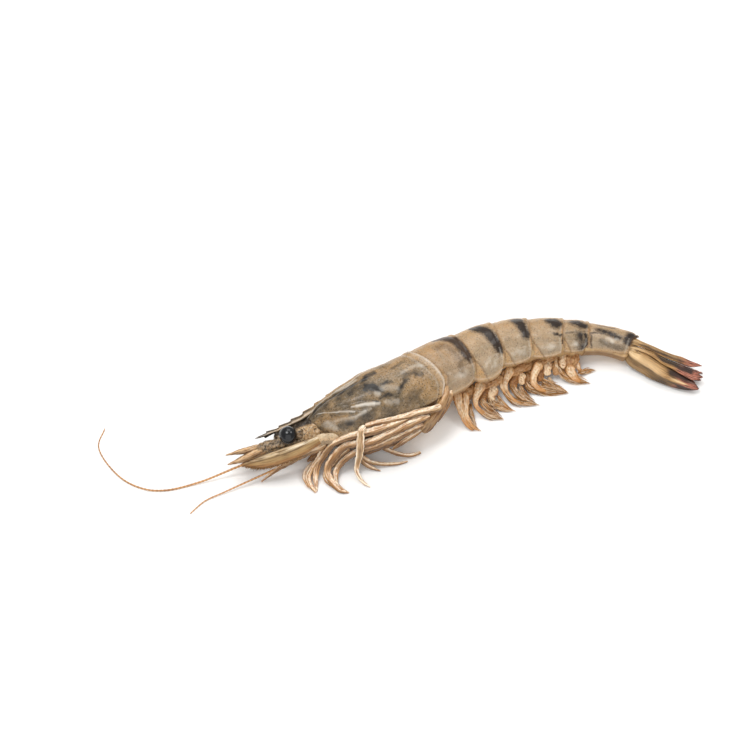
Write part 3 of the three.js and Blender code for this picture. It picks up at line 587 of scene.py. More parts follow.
def tail_plate(k):
    """One plate of the tail: a thin curved sheet over the back with a rounded flap down each side. It swells
    a little towards its rear edge, each flap is domed, and in front of each flap the flank is set in. The
    last plate has no flaps, and closes round most of the body."""
    _, _, flap = PLATES[k]
    first, last = k == 0, k == len(PLATES) - 1
    u = np.linspace(0, 1, 90)[:, None]
    v = np.linspace(-2, 2, 260)[None, :] * np.ones_like(u)
    w = np.abs(v)
    hang = np.clip(w - 1, 0, 1)
    angle = np.minimum(w, 1) * np.pi / 2
    around = angle + hang * 1.1
    overlap, rear = plate_rear(k - 1, around), plate_rear(k, around)
    front = overlap - PLATE_LAP
    deepest, fore_reach, rear_reach = (0.78, 0.6, 0.3) if first else (0.56, 0.57, 0.57)
    away = np.where(u < deepest, (deepest - u) / fore_reach, (u - deepest) / rear_reach)
    lobe = np.sqrt(np.maximum(0, 1 - away**2.2))
    depth = 7.4 - 1.6 * u if last else 3 + (flap - 3) * lobe
    s = front + u * (rear - front) - 1.6 * smooth(hang) * u * (not last)
    l, d = plate_profile(s, v, depth)
    if last:
        spread = np.radians(np.interp(u, [0, 0.5, 0.8, 1], [120, 120, 113, 103]))
        angle = w / 2 * spread
        l, d = outline(s, angle)
        l = l * np.sign(v)
    flat = np.stack([s, l, d], -1)
    lift = PLATE_STEP * smooth((s - overlap) / (rear - overlap)) - PLATE_STEP / 2
    edge = rear - s
    dome = 0.75 * bell(u - 0.62, 0.30) * bell(hang - 0.30, 0.38) * (not last)
    facet = (hang * depth + 3.0) / (np.maximum(depth, 1) + 3.0) - (u - 0.10) / 0.42
    set_in = 0.55 * smooth(facet / 0.10) * smooth((w - 0.78) / 0.2) * (not last)
    lip = 0.16 * bell(edge - 0.6, 0.5) - 0.14 * bell(edge - 1.6, 0.5)
    hinge = 0.22 * bell(w - 0.93 - 0.1 * u, 0.05) * (not last)
    keel = (0.2 * bell(w - 1.25, 0.08) + 0.15 * bell(w, 0.10) - 0.5 * smooth((3.0 - edge) / 3.0)) * last
    uneven = 0.08 * ripple(flat, 6.0, 20 + k) + 0.035 * ripple(flat, 1.8, 30 + k)
    out = lift + dome - set_in + lip - hinge + keel + uneven
    size = np.hypot(l, d) + 1e-6
    below = smooth(hang / 0.25)
    out_l = l / size * (1 - below) + np.sign(v) * below
    out_d = d / size * (1 - below)
    outer, inner = (
        over_table(at(s, l + out_l * face, d + out_d * face)) for face in (out, out - PLATE_THICK)
    )
    inked_s = s + 0.2 * ripple(flat, 2.6, 44 + k)
    inked_angle = angle if last else np.where(w <= 1, angle, np.pi / 2 + hang * 0.75)
    inked_angle = inked_angle + 0.025 * ripple(flat, 2.2, 48 + k)
    inked = strokes(inked_s, inked_angle, BANDS[k], PLATE_GIRTH)
    blotch = 0.5 + 0.5 * ripple(flat, 3.2, 40 + k)
    fleck = 0.5 + 0.5 * ripple(flat, 0.9, 46 + k)
    near_edge = smooth((1.3 - edge) / 0.8)
    front_corner = smooth(facet / 0.12) * smooth((w - 0.7) / 0.25) * (not last)
    back_warm = bell(w, 0.62) * (0.65 + 0.35 * blotch) + 0.4 * first * smooth((0.95 - w) / 0.4) * blotch
    hung = smooth((hang - 0.66) / 0.3)
    # brim: the skin along the rear edge, where painted shade lies
    brim = bell(edge - 0.2, 0.25) * smooth((w - 0.35) / 0.2)
    past_overlap = s - overlap
    # seam: just behind the plate in front, warmer and, by the shade mark, darker: painted shade
    seam = bell(past_overlap - 0.3, 1.1) * (1 - front_corner)
    # back_highlight: a thin pale line down the middle of the back, a painted highlight
    back_highlight = bell((v + 0.05) * 17, 1.0)
    rim = bell(hang - 0.86, 0.07) * smooth((0.9 - np.abs(u - 0.56)) / 0.3) * (not last)
    marks = marks_on(
        s.shape,
        dark=inked * (0.85 + 0.35 * blotch - 0.3 * fleck) * (1 - 0.5 * smooth((0.5 - edge) / 0.4)),
        # pale: a painted highlight on each flap's dome, a band before the rear edge, the rims, the back's
        # highlight
        pale=0.55 * bell(u - 0.62, 0.22) * bell(hang - 0.3, 0.25) * (0.3 + blotch)
        + 0.25 * bell(edge - 1.6, 0.6) * (w > 0.9)
        + 0.3 * rim
        + 0.8 * back_highlight,
        warm=np.maximum.reduce(
            [np.minimum(1, back_warm), 0.85 * hung, 0.85 * front_corner, 0.75 * near_edge, 0.7 * seam]
        ),
        # shade: painted shade along the rear edge, at the flaps' lower edges, in the facets' creases and just
        # behind the plate in front; on plate 1 also a darker tone all over
        shade=0.5 * brim
        + 0.4 * smooth((hang - 0.88) / 0.1)
        + 0.4 * bell(facet, 0.05) * smooth((w - 0.9) / 0.2) * (not last)
        + 0.4 * bell(past_overlap - 0.1, 0.6)
        + 0.22 * first * (0.5 + 0.5 * blotch),
    )
    return [slab(outer, inner, marks, flat), belly(k)]


def belly(k):
    """The flesh under one plate: the body's outline drawn in by a millimetre, less where soft rolls cross its
    underside. The last plate's flesh closes round at its rear."""
    angle = round_turn(90, -np.pi)
    u = np.linspace(0, 1, 60)[:, None]
    last = k == len(PLATES) - 1
    front, rear = plate_rear(k - 1, angle) - 1.5, plate_rear(k, angle) - 0.6 + 1.5 * last
    s = front + u * (rear - front)
    l, d = outline(s, angle + 0 * s)
    underside = smooth(-np.cos(angle) / 0.6)
    roll = 0.35 * np.cos(2 * np.pi * (u * (1.0 if last else 2.0))) * underside
    shrink = 1.0 - 0.25 * underside - roll - 0.6 * bell(angle - 2.05, 0.16) * last
    size = np.hypot(l, d)
    closing = np.sqrt(np.clip(1 - np.clip((u - 0.86) / 0.14, 0, 1) ** 2, 0.02, 1)) if last else 1.0
    l, d = l * (1 - shrink / size) * closing, d * (1 - shrink / size) * closing
    flat = np.stack([s, l, d], -1)
    # painted shade: darker on the underside, and on the last plate dark below, save a strip where it is drawn
    # in
    shade = 0.85 * smooth((angle - 1.9) / 0.3) if last else 0.35 * underside
    shade = shade * (1 - 0.7 * bell(angle - 2.05, 0.12))
    marks = marks_on(s.shape, pale=0.35 + 0.3 * ripple(flat, 4.0, 60 + k), warm=0.5, shade=shade)
    return tube(over_table(at(s, l, d), 0.05), marks, flat, material=1)


# ---------------------------------------------------------------- limbs


def tangents(line):
    """The direction along a line at each of its points."""
    return unit(np.gradient(line, axis=0))


def carried(line, across):
    """Two directions square to a line, carried along it from ring to ring without twisting."""
    tangent = tangents(line)
    way, ways = np.asarray(across, float), []
    for t in tangent:
        way = unit(way - t * (way @ t))
        ways.append(way)
    ways = np.array(ways)
    return ways, np.cross(tangent, ways)


# The way the limbs' upper skins face, where their painted highlights lie, the way their belly sides face,
# where their painted shade lies, and the way their flat sides face.
HIGHLIGHT_SIDE = np.array([0.06, 0.50, 0.86])
SHADE_SIDE = np.array([-0.17, -0.96, -0.20])
FACE = np.array([-0.10, -0.56, 0.82])


def flat_frame(line):
    """Along a line: its direction, the way across it that lies flat to FACE, and the way out of that flat."""
    tangent = tangents(line)
    across = unit(np.cross(FACE, tangent))
    return tangent, across, np.cross(tangent, across)


def strap(points, halves, seed, tone, thick=0.6, furrows=1.0, step=0.25, sides=30, rough=0.1, material=0):
    """A flattened horny or fleshy tube: elliptic rings along a smooth line, `thick` times as deep as wide,
    uneven and rounded at both ends. Two furrows wander down the side that faces FACE. The seed sets its own
    unevenness, and `tone` gives its marks."""
    line, run = spline(points, step)
    _, across, out = flat_frame(line)
    places = [run[np.argmin(np.linalg.norm(line - point, axis=1))] for point in points]
    half = np.interp(run, places, halves)
    half = np.convolve(np.pad(half, 4, mode="edge"), np.ones(9) / 9, "valid")
    near = np.minimum(run / max(halves[0], 0.3), (run[-1] - run) / max(halves[-1], 0.3))
    ends = np.sqrt(np.clip(1 - (1 - np.clip(near, 0, 1)) ** 2, 0.02, 1))[:, None]
    half = half[:, None]
    turn = round_turn(sides)
    c, k = np.cos(turn), np.sin(turn)
    straight = joined(run[:, None] + 40 * seed, half * c, half * k)
    wander = 0.3 * ripple(straight * (1, 0, 0), 9.0, 70 + seed)
    depth = smooth(0.6 + 0.9 * ripple(straight * (1, 0.3, 0.3), 6.0, 75 + seed))
    lines = furrows * (bell(c - 0.4 + wander, 0.09) + 0.8 * bell(c + 0.3 + wander, 0.08)) * (k > 0) * depth
    swell = (1 + rough * ripple(straight, 2.4, 90 + seed)) * ends
    skin = line[:, None] + across[:, None] * (half * c * swell)[..., None]
    skin = skin + out[:, None] * (half * thick * k * (swell - 0.32 * lines * ends))[..., None]
    ring = across[:, None] * c[..., None] + out[:, None] * k[..., None]
    share = (run / run[-1])[:, None] + 0 * turn
    marks = tone(
        share=share,
        lines=lines,
        spots=0.5 + 0.5 * ripple(straight, 1.3, 95 + seed),
        top=ring @ HIGHLIGHT_SIDE,
        under=ring @ SHADE_SIDE,
        edge=np.abs(c) + 0 * share,
    )
    return tube(over_table(skin, 0.03), marks, straight, material)


# The tones of the straps. `share` runs from 0 at the root to 1 at the tip, `lines` is 1 in a furrow, `spots`
# is an uneven field from 0 to 1, `top` and `under` say how far the skin faces HIGHLIGHT_SIDE and SHADE_SIDE,
# which most tones turn into painted highlight and painted shade, and `edge` is 0 down the middle and 1 along
# the edges.


def leg_tone(share, lines, spots, top, under, edge):
    """Legs have painted shade in their furrows, on the belly's side and along their edges, a painted
    highlight on top, and are warmer towards the foot.
    """
    shadow = smooth((under - 0.25) / 0.6)
    dark = 0.55 * lines + 0.75 * shadow + 0.65 * smooth((edge - 0.86) / 0.1)
    pale = 0.95 * smooth((top - 0.1) / 0.5) * (0.4 + 0.7 * spots)
    return marks_on(share.shape, dark=dark, pale=pale, warm=0.1 + 0.5 * share**2 + 0.35 * (1 - spots))


def drop_tone(share, lines, under, edge, **_):
    """The leg that hangs in front of the others is pale as painted light, with painted shade on its belly
    side, in its furrows and along its edges, and a warmer foot.
    """
    dark = 0.25 * lines + 0.6 * smooth((under - 0.6) / 0.3) + 0.6 * smooth((edge - 0.88) / 0.1)
    return marks_on(share.shape, dark=dark, pale=1.3 * smooth((0.8 - under) / 0.4), warm=0.7 * share**2)


def whip_tone(share, lines, spots, top, under, edge):
    """The small feelers' ends, and one limb of leg_5_left, are tan, with painted shade in their furrows, on
    their belly side and along their edges, and a faint painted highlight on top.
    """
    dark = 0.2 + 0.7 * lines + 0.5 * smooth(under / 0.6) + 0.4 * smooth((edge - 0.8) / 0.15)
    return marks_on(share.shape, dark=dark, pale=0.2 * spots * smooth(top), warm=0.15)


def shade_fold_tone(share, lines, spots, **_):
    """Folds of flesh between the limbs, painted dark brown and streaked as the shade between them."""
    return marks_on(share.shape, dark=0.75 + 0.25 * lines + 0.2 * (1 - spots), warm=0.8)


# Each walking leg, limb by limb: points from the body to the foot, x, y, z, and the half width there before
# LEG_WIDEN.
LEGS = {
    "jaw_leg_left": [
        [
            (-62.7, -20.1, 14.1, 0.9), (-66.3, -21.4, 13.7, 1.15),
            (-70.9, -22.1, 12.9, 1.2), (-75.4, -22.6, 10.7, 1.1),
            (-80.0, -23.0, 7.9, 0.95), (-84.2, -23.0, 4.6, 0.75),
            (-87.7, -23.9, 2.3, 0.5), (-90.8, -25.2, 0.8, 0.17),
        ],
    ],
    "jaw_leg_right": [[(-67.4, -14.6, 3.2, 1.7), (-75.7, -17.2, 4.3, 0.9)]],
    "leg_1_left": [
        [
            (-63.6, -19.7, 10.0, 1.04), (-66.5, -22.1, 6.8, 0.94), (-70.0, -25.1, 4.0, 0.88),
            (-71.5, -27.3, 2.6, 0.88), (-71.2, -30.4, 1.6, 0.83), (-70.3, -32.3, 1.1, 0.62),
            (-69.4, -34.1, 0.6, 0.21),
        ],
    ],
    "leg_2_left": [
        [
            (-21.8, -18.2, 14.9, 0.62), (-27.1, -20.2, 16.0, 1.25), (-32.5, -22.1, 15.7, 1.46),
            (-37.7, -23.5, 15.2, 1.56), (-42.8, -24.3, 14.3, 1.35), (-47.0, -24.5, 13.0, 1.08),
            (-51.3, -23.9, 10.5, 1.04), (-55.3, -24.3, 7.5, 1.04), (-58.4, -25.4, 4.5, 1.04),
            (-59.9, -26.9, 3.0, 0.94), (-60.4, -29.3, 1.8, 0.83), (-60.4, -31.9, 1.0, 0.42),
        ],
    ],
    "leg_3_left": [
        [
            (-18.8, -15.8, 16.9, 0.62), (-23.3, -17.4, 18.1, 1.35), (-27.8, -18.9, 18.6, 1.56),
            (-32.2, -20.5, 18.5, 1.56), (-37.4, -22.1, 17.8, 1.46), (-43.0, -23.3, 16.6, 1.42),
            (-47.6, -23.6, 15.7, 1.25), (-50.8, -23.1, 15.8, 1.25), (-54.9, -22.4, 14.0, 1.25),
            (-57.9, -23.0, 12.0, 1.25), (-60.5, -24.0, 9.0, 1.25), (-62.8, -25.2, 6.0, 1.15),
            (-63.5, -27.0, 3.8, 1.04), (-62.8, -29.8, 2.6, 1.15), (-60.9, -33.0, 1.7, 1.21),
            (-58.9, -35.2, 1.1, 0.96), (-56.0, -36.5, 0.6, 0.21),
        ],
    ],
    "leg_4_left": [
        [
            (-26.6, -17.0, 20.3, 0.62), (-32.8, -19.0, 20.5, 1.15), (-37.1, -20.0, 20.4, 1.25),
            (-42.2, -20.8, 20.0, 1.35), (-47.2, -21.1, 19.6, 1.42), (-52.1, -21.0, 18.7, 1.29),
            (-55.8, -20.8, 17.0, 1.13), (-59.1, -21.0, 15.5, 0.96), (-60.4, -21.3, 14.5, 0.88),
            (-62.6, -21.5, 11.0, 1.04), (-64.5, -22.3, 8.0, 1.08), (-66.7, -23.5, 5.5, 1.13),
            (-68.0, -25.6, 3.5, 1.04), (-68.6, -27.9, 2.0, 0.88), (-68.9, -30.8, 1.2, 0.62),
            (-69.0, -33.6, 0.6, 0.21),
        ],
    ],
    "leg_5_left": [
        [
            (-13.5, -11.9, 17.9, 1.04), (-15.4, -13.2, 18.1, 1.25), (-19.5, -14.5, 19.3, 1.15),
            (-23.9, -15.7, 20.6, 1.15), (-29.6, -17.2, 21.3, 1.04), (-35.9, -18.2, 21.9, 0.96),
            (-42.2, -18.7, 22.1, 0.88), (-46.6, -19.6, 22.6, 0.7),
        ],
        [
            (-46.4, -20.2, 23.2, 0.6), (-48.2, -21.4, 23.2, 1.0), (-48.9, -22.9, 19.7, 1.3),
            (-49.4, -24.8, 15.3, 1.3), (-49.9, -25.6, 10.2, 1.15), (-50.9, -26.2, 5.6, 0.95),
            (-51.5, -27.9, 2.8, 0.79), (-50.5, -31.2, 1.6, 0.62), (-49.0, -33.5, 1.0, 0.46),
            (-47.0, -35.3, 0.6, 0.19),
        ],
        [
            (-9.6, -4.4, 20.6, 0.4), (-10.1, -6.2, 20.0, 0.9),
            (-10.9, -8.4, 18.9, 1.2), (-12.5, -10.8, 17.5, 1.4),
            (-14.6, -13.2, 15.7, 1.56), (-17.5, -15.6, 14.0, 1.67), (-20.3, -17.6, 11.8, 1.67),
            (-22.6, -18.6, 10.2, 1.46),
        ],
        [
            (-8.1, -5.4, 18.6, 0.3), (-8.5, -7.0, 18.4, 0.7),
            (-9.0, -8.1, 17.1, 1.04), (-11.0, -10.5, 14.5, 1.04),
            (-13.5, -12.8, 11.9, 0.83), (-15.3, -13.8, 8.6, 0.42),
        ],
    ],
    "leg_1_right": [
        [
            (-65.3, -19.4, 5.5, 0.83), (-66.9, -21.0, 4.5, 0.71), (-69.4, -22.4, 3.5, 0.83),
            (-72.0, -24.6, 2.6, 0.83), (-72.8, -26.5, 2.0, 0.83), (-72.4, -29.0, 1.4, 0.73),
            (-71.8, -31.3, 0.7, 0.25),
        ],
    ],
    "leg_2_right": [
        [
            (-53.2, -22.1, 11.0, 0.54), (-56.9, -22.7, 7.5, 0.62), (-60.5, -24.0, 4.0, 0.71),
            (-64.1, -25.9, 2.2, 0.83), (-64.2, -29.3, 1.4, 0.83), (-62.5, -32.3, 1.0, 0.50),
        ],
    ],
    "leg_3_right": [
        [
            (-49.1, -23.7, 5.0, 0.83), (-47.7, -24.9, 3.0, 0.83), (-45.7, -26.3, 1.8, 0.75),
            (-43.6, -27.4, 1.0, 0.46), (-41.5, -28.3, 0.6, 0.17),
        ],
    ],
    "leg_4_right": [
        [
            (-48.6, -22.9, 5.5, 0.96), (-46.2, -24.6, 3.8, 0.83), (-42.2, -25.7, 2.4, 0.67),
            (-37.3, -26.2, 1.4, 0.58), (-33.1, -26.2, 0.9, 0.50), (-29.7, -25.7, 0.7, 0.29),
        ],
    ],
    "leg_5_right": [
        [
            (-23.0, -19.4, 12.5, 0.50), (-25.5, -20.5, 12.6, 0.88), (-29.1, -22.0, 12.1, 0.88),
            (-32.6, -23.2, 10.8, 0.75), (-35.4, -22.4, 6.5, 0.42),
        ],
        [
            (-42.7, -19.0, 7.5, 0.62), (-40.0, -20.1, 6.0, 0.75), (-36.5, -21.7, 4.4, 0.79),
            (-33.3, -22.9, 3.0, 0.75), (-30.1, -23.5, 2.0, 0.67), (-26.7, -23.4, 1.5, 0.67),
            (-23.6, -22.5, 1.2, 0.50),
        ],
    ],
}
LEG_WIDEN = 1.28
# The limbs that don't take leg_tone: a leg, the number of its limb counted from 0, and the tone.
LIMB_TONES = {("leg_5_left", 1): drop_tone, ("leg_5_left", 2): whip_tone}
# The folds of flesh between the legs, under the mouth and behind the folded legs, painted dark as shade.
SHADE_FOLDS = {
    "jaw_leg_left": [
        (-61.1, -17.2, 10.0, 1.46), (-64.7, -18.7, 8.0, 2.20), (-67.9, -20.1, 6.0, 1.60),
        (-71.0, -21.0, 4.5, 0.30),
    ],
    "leg_4_right": [
        (-25.9, -18.4, 11.5, 1.04), (-30.2, -19.3, 9.5, 1.67), (-34.5, -19.8, 8.0, 1.67),
        (-39.6, -20.2, 6.5, 1.35), (-44.6, -20.5, 5.0, 1.46), (-48.9, -20.9, 4.5, 1.25),
    ],
}

# Each long feeler: the points of its line, from under the head out over the table.
FEELERS = {
    "antenna_left": [
        at(-8.8, 1.6, -8.3), spot(-81.3, -22.0, 5.4), spot(-86.4, -22.9, 4.2), spot(-106.0, -27.5, 1.0),
        spot(-114.6, -30.1, 0.5), spot(-121.6, -35.2, 0.4),
    ],
    "antenna_right": [
        at(-8.8, -2.2, -7.6), spot(-89.4, -18.2, 7.0), spot(-97.4, -18.7, 5.4), spot(-115.4, -21.0, 1.0),
        spot(-130.0, -22.2, 0.5), spot(-138.4, -20.0, 0.5), spot(-147.5, -12.6, 0.45), spot(-154.7, 3.6, 0.4),
        spot(-151.1, 12.6, 0.4),
    ],
}
FEELER_JOINT = 1.6  # the length of one joint of a long feeler


def knots_of(rows, widen=1.0):
    """The points of rows of x, y, z and half width, and the half widths, widened."""
    return [spot(*row[:3]) for row in rows], [widen * row[3] for row in rows]


def between(a, b, t, low, high):
    """Goes evenly from a where t is low to b where t is high."""
    return a + (b - a) * (t - low) / (high - low)


def spline(knots, step):
    """A smooth line through points: a centripetal Catmull-Rom curve, in even steps."""
    p = np.array(knots)
    p = np.vstack([2 * p[0] - p[1], p, 2 * p[-1] - p[-2]])
    line = []
    for a, b, c, e in zip(p, p[1:], p[2:], p[3:]):
        t0, t1 = 0.0, np.linalg.norm(b - a) ** 0.5
        t2 = t1 + np.linalg.norm(c - b) ** 0.5
        t3 = t2 + np.linalg.norm(e - c) ** 0.5
        t = np.linspace(t1, t2, 24, endpoint=False)[:, None]
        ab, bc, ce = between(a, b, t, t0, t1), between(b, c, t, t1, t2), between(c, e, t, t2, t3)
        abc, bce = between(ab, bc, t, t0, t2), between(bc, ce, t, t1, t3)
        line.extend(between(abc, bce, t, t1, t2))
    line = np.array([*line, p[-2]])
    run = np.concatenate([[0], np.cumsum(np.linalg.norm(np.diff(line, axis=0), axis=1))])
    even = np.linspace(0, run[-1], int(run[-1] / step))
    return np.stack([np.interp(even, run, line[:, i]) for i in range(3)], -1), even


def feeler(knots):
    """A whip along a smooth line, its radius falling as a power of the length, ringed by fine joints."""
    line, run = spline(knots, 0.4)
    share = run / run[-1]
    radius = 0.6 - 0.38 * share**0.8
    line[:, 2] = np.maximum(line[:, 2], radius + 0.02)
    way, side = carried(line, (0, 0, 1))
    joints = np.cos(2 * np.pi * run / FEELER_JOINT)
    radius = radius * (1 + 0.10 * joints) * np.minimum(1, 0.3 + (run[-1] - run) / 1.5)
    turn = round_turn(9)
    x, y = radius[:, None] * np.cos(turn), radius[:, None] * np.sin(turn)
    points = line[:, None] + way[:, None] * x[..., None] + side[:, None] * y[..., None]
    straight = joined(run[:, None], x, y)
    marks = marks_on(straight.shape[:2], dark=0.2 + 0.25 * joints[:, None], warm=0.9)
    return tube(points, marks, straight)


# ---------------------------------------------------------------- leaves: the tail fan and the scales

# The three leaves on top: each one's upper edge, its middle line or fold, and its lower edge, root to tip.
FAN_TOP = {
    "telson": [
        [
            (72.5, 15.4, 10.3), (75.9, 13.2, 10.0), (77.7, 11.4, 9.8), (82.4, 8.8, 8.6),
            (86.0, 6.3, 7.9), (90.0, 3.9, 7.3), (93.6, 2.3, 6.9), (96.5, -0.1, 6.6),
            (99.2, -2.1, 6.4), (101.0, -3.8, 6.2),
        ],
        [
            (71.3, 12.6, 11.0), (75.1, 10.1, 10.7), (79.7, 7.1, 9.8), (84.3, 4.4, 8.8),
            (88.9, 1.6, 7.9), (93.2, -0.6, 7.3), (96.7, -2.5, 6.9), (101.0, -3.8, 6.2),
        ],
        [
            (70.4, 10.3, 10.0), (74.0, 8.8, 9.6), (79.6, 6.4, 8.6), (84.0, 2.9, 7.8),
            (87.8, 0.4, 7.2), (92.4, -2.3, 6.6), (95.5, -4.0, 6.3), (101.0, -3.8, 6.0),
        ],
    ],
    "uropod_inner_left": [
        [
            (71.4, 11.8, 8.6), (76.9, 9.2, 8.0), (81.6, 6.9, 7.4), (85.7, 3.7, 6.8),
            (90.2, 0.7, 6.3), (94.3, -1.9, 5.9), (97.7, -4.3, 5.5), (100.1, -8.5, 4.9),
        ],
        [
            (70.5, 10.3, 9.2), (76.3, 7.4, 8.8), (80.9, 4.4, 8.2), (84.8, 0.6, 7.4),
            (88.8, -2.4, 6.9), (92.9, -5.4, 6.4), (96.3, -7.7, 5.8), (100.0, -8.7, 5.0),
        ],
        [
            (69.9, 9.4, 8.4), (76.4, 7.1, 8.0), (80.7, 3.5, 7.3), (84.5, -1.0, 6.7),
            (88.1, -3.9, 6.2), (92.0, -7.7, 5.5), (95.3, -10.1, 5.0), (100.0, -8.8, 4.8),
        ],
    ],
    "uropod_outer_left": [
        [
            (72.3, 11.6, 7.2), (77.1, 9.5, 6.8), (81.5, 5.8, 6.4), (85.3, 1.8, 5.9),
            (89.3, -1.6, 5.3), (93.2, -5.0, 4.6), (95.9, -8.6, 3.9), (97.5, -12.7, 3.0),
        ],
        [
            (71.3, 8.0, 8.8), (72.4, 5.4, 8.4), (74.3, 3.3, 8.0), (76.6, 1.1, 7.6),
            (79.4, -1.8, 7.1), (81.8, -4.5, 6.5), (84.8, -6.8, 5.9), (89.7, -9.9, 4.9),
            (93.7, -11.9, 3.9), (97.1, -13.1, 3.0),
        ],
        [
            (69.3, 8.9, 4.4), (71.0, 4.3, 3.0), (73.5, 1.8, 2.2), (76.0, -0.4, 1.7),
            (78.1, -2.6, 1.4), (81.4, -5.1, 1.1), (85.3, -7.8, 1.0), (89.0, -10.2, 1.3),
            (93.8, -12.4, 2.0), (97.0, -13.1, 2.6),
        ],
    ],
}
# The two leaves under them, flat: the middle line as s, l, d, the way across as l, d, the half widths and the
# thicknesses.
FAN_UNDER = {
    "uropod_inner_right": (
        [(142.0, -3.2, -0.4), (156, -3.0, -0.4), (165, -2.4, 0.4), (174, -1.6, 1.6)],
        (-0.67, 0.74), [1.4, 1.8, 1.6, 0.3], [0.7, 0.7, 0.6, 0.3],
    ),
    "uropod_outer_right": (
        [(142.0, -1.7, -2.8), (154, -1.5, -3.9), (165, -1.2, -2.6), (174.5, -1.0, -1.2)],
        (0.67, -0.74), [1.5, 2.6, 2.2, 0.3], [0.6, 0.6, 0.5, 0.3],
    ),
}


EASE = 0.08  # the share of a leaf's length over which its widths are evened out


def eased(values, places, x):
    """Values between places: the mean of the straight run between them over a share EASE on each side."""
    shifts = np.linspace(-EASE, EASE, 9)
    return np.mean([np.interp(np.clip(x + shift, 0, 1), places, values) for shift in shifts], axis=0)


def leaf(rows, across, halves, thicks, form, s_mid=150.0, side=1.0):
    """A leaf along a line of (s, l, d): across it v runs from -1 to 1, its two faces stand off by the
    thickness times a lens, and `form` gives the upper face's relief and the marks over (u, v). With it comes
    its base for a fringe: line, way across, half width and length so far."""
    knots = [at(s, side * l, d) for s, l, d in rows]
    line, run = spline(knots, 0.28)
    share = run / run[-1]
    lengths = np.concatenate([[0], np.cumsum([np.linalg.norm(b - a) for a, b in zip(knots, knots[1:])])])
    places = lengths / lengths[-1]
    way, out = carried(line, direction(s_mid, side * across[0], across[1]))
    half, thick = eased(halves, places, share)[:, None], eased(thicks, places, share)[:, None]
    half = half * np.sqrt(np.clip(1 - (1 - np.clip((1 - share) / 0.07, 0, 1)) ** 2, 0.01, 1))[:, None]
    u = share[:, None]
    v = np.sin(np.linspace(-np.pi / 2, np.pi / 2, 60))[None, :] + 0 * u
    lens = np.sqrt(np.clip(1 - v**2, 0.0, 1)) ** 0.8 * thick
    relief, marks = form(u + 0 * v, v)
    middle = line[:, None] + way[:, None] * (v * half)[..., None]
    outer = over_table(middle + out[:, None] * (lens + relief * np.minimum(half, 1))[..., None])
    inner = over_table(middle - out[:, None] * lens[..., None])
    straight = joined(run[:, None], v * half, 0 * v)
    return slab(outer, inner, marks, straight), (line, way, half[:, 0], run)


def strands(lines, first, second, radius, marks):
    """Many fine spindles at once, each four-sided along a line of points, with two ways across it and a
    radius that is 0 at its ends."""
    turn = 2 * np.pi * np.arange(4) / 4
    ring = first[:, :, None] * np.cos(turn)[:, None] + second[:, :, None] * np.sin(turn)[:, None]
    points = over_table(lines[:, :, None] + ring * radius[:, :, None, None], 0.03)
    count, steps = radius.shape
    index = np.arange(count * steps * 4).reshape(count, steps, 4)
    index = np.concatenate([index, index[:, :, :1]], 2)
    quads = np.stack([index[:, :-1, :-1], index[:, 1:, :-1], index[:, 1:, 1:], index[:, :-1, 1:]], -1)
    spread = np.broadcast_to(marks[:, None, None], (count, steps, 4, 4))
    straight = joined(np.linspace(0, 4, steps)[:, None], np.arange(4.0), np.arange(count)[:, None, None])
    return Surface(points, quads.reshape(-1, 4), spread, straight)


def hairs(roots, ways, lengths, radius, sag, marks):
    """Fine bristles: each leaves its root one way and curves by `sag` times the square of the way along."""
    t = np.array([0, 0.06, 0.35, 0.7, 1.0])
    thick = np.array([0, 1.0, 0.85, 0.5, 0])
    reach = (lengths[:, None] * t)[..., None]
    lines = roots[:, None] + ways[:, None] * reach + sag[:, None] * (lengths[:, None] * t**2)[..., None]
    first = unit(np.cross(ways, (0.3, -0.5, 0.8)))
    second = np.cross(ways, first)
    across = [np.repeat(way[:, None], len(t), axis=1) for way in (first, second)]
    tints = np.tile(np.array(marks, float), (len(roots), 1))
    tints[:, 2] += 0.2 * RANDOM.random(len(roots))
    return strands(lines, *across, radius[:, None] * thick, tints)


def fringe(base, v_side, start, count, length, lean, radius, marks, stray=0.25):
    """Bristles along one edge of a leaf: they leave it sideways and lean towards the tip."""
    line, way, half, run = base
    share = np.sort(RANDOM.uniform(start, 0.985, count))
    pick = share * run[-1]

    def along(values):
        return np.stack([np.interp(pick, run, values[:, i]) for i in range(3)], -1)

    edge = along(line) + along(way) * (v_side * 0.93 * np.interp(pick, run, half))[:, None]
    turn_in = smooth((share - 0.8) / 0.2)[:, None]
    ways = along(way) * v_side * (1 - 0.8 * turn_in) + along(tangents(line)) * (lean + 1.2 * turn_in)
    ways = unit(ways + stray * RANDOM.normal(size=ways.shape))
    lengths = length * RANDOM.uniform(0.6, 1.15, count)
    sag = np.array([0, 0, -0.15]) + 0.12 * RANDOM.normal(size=ways.shape)
    return hairs(edge, ways, lengths, radius * RANDOM.uniform(0.7, 1.3, count), sag, marks)


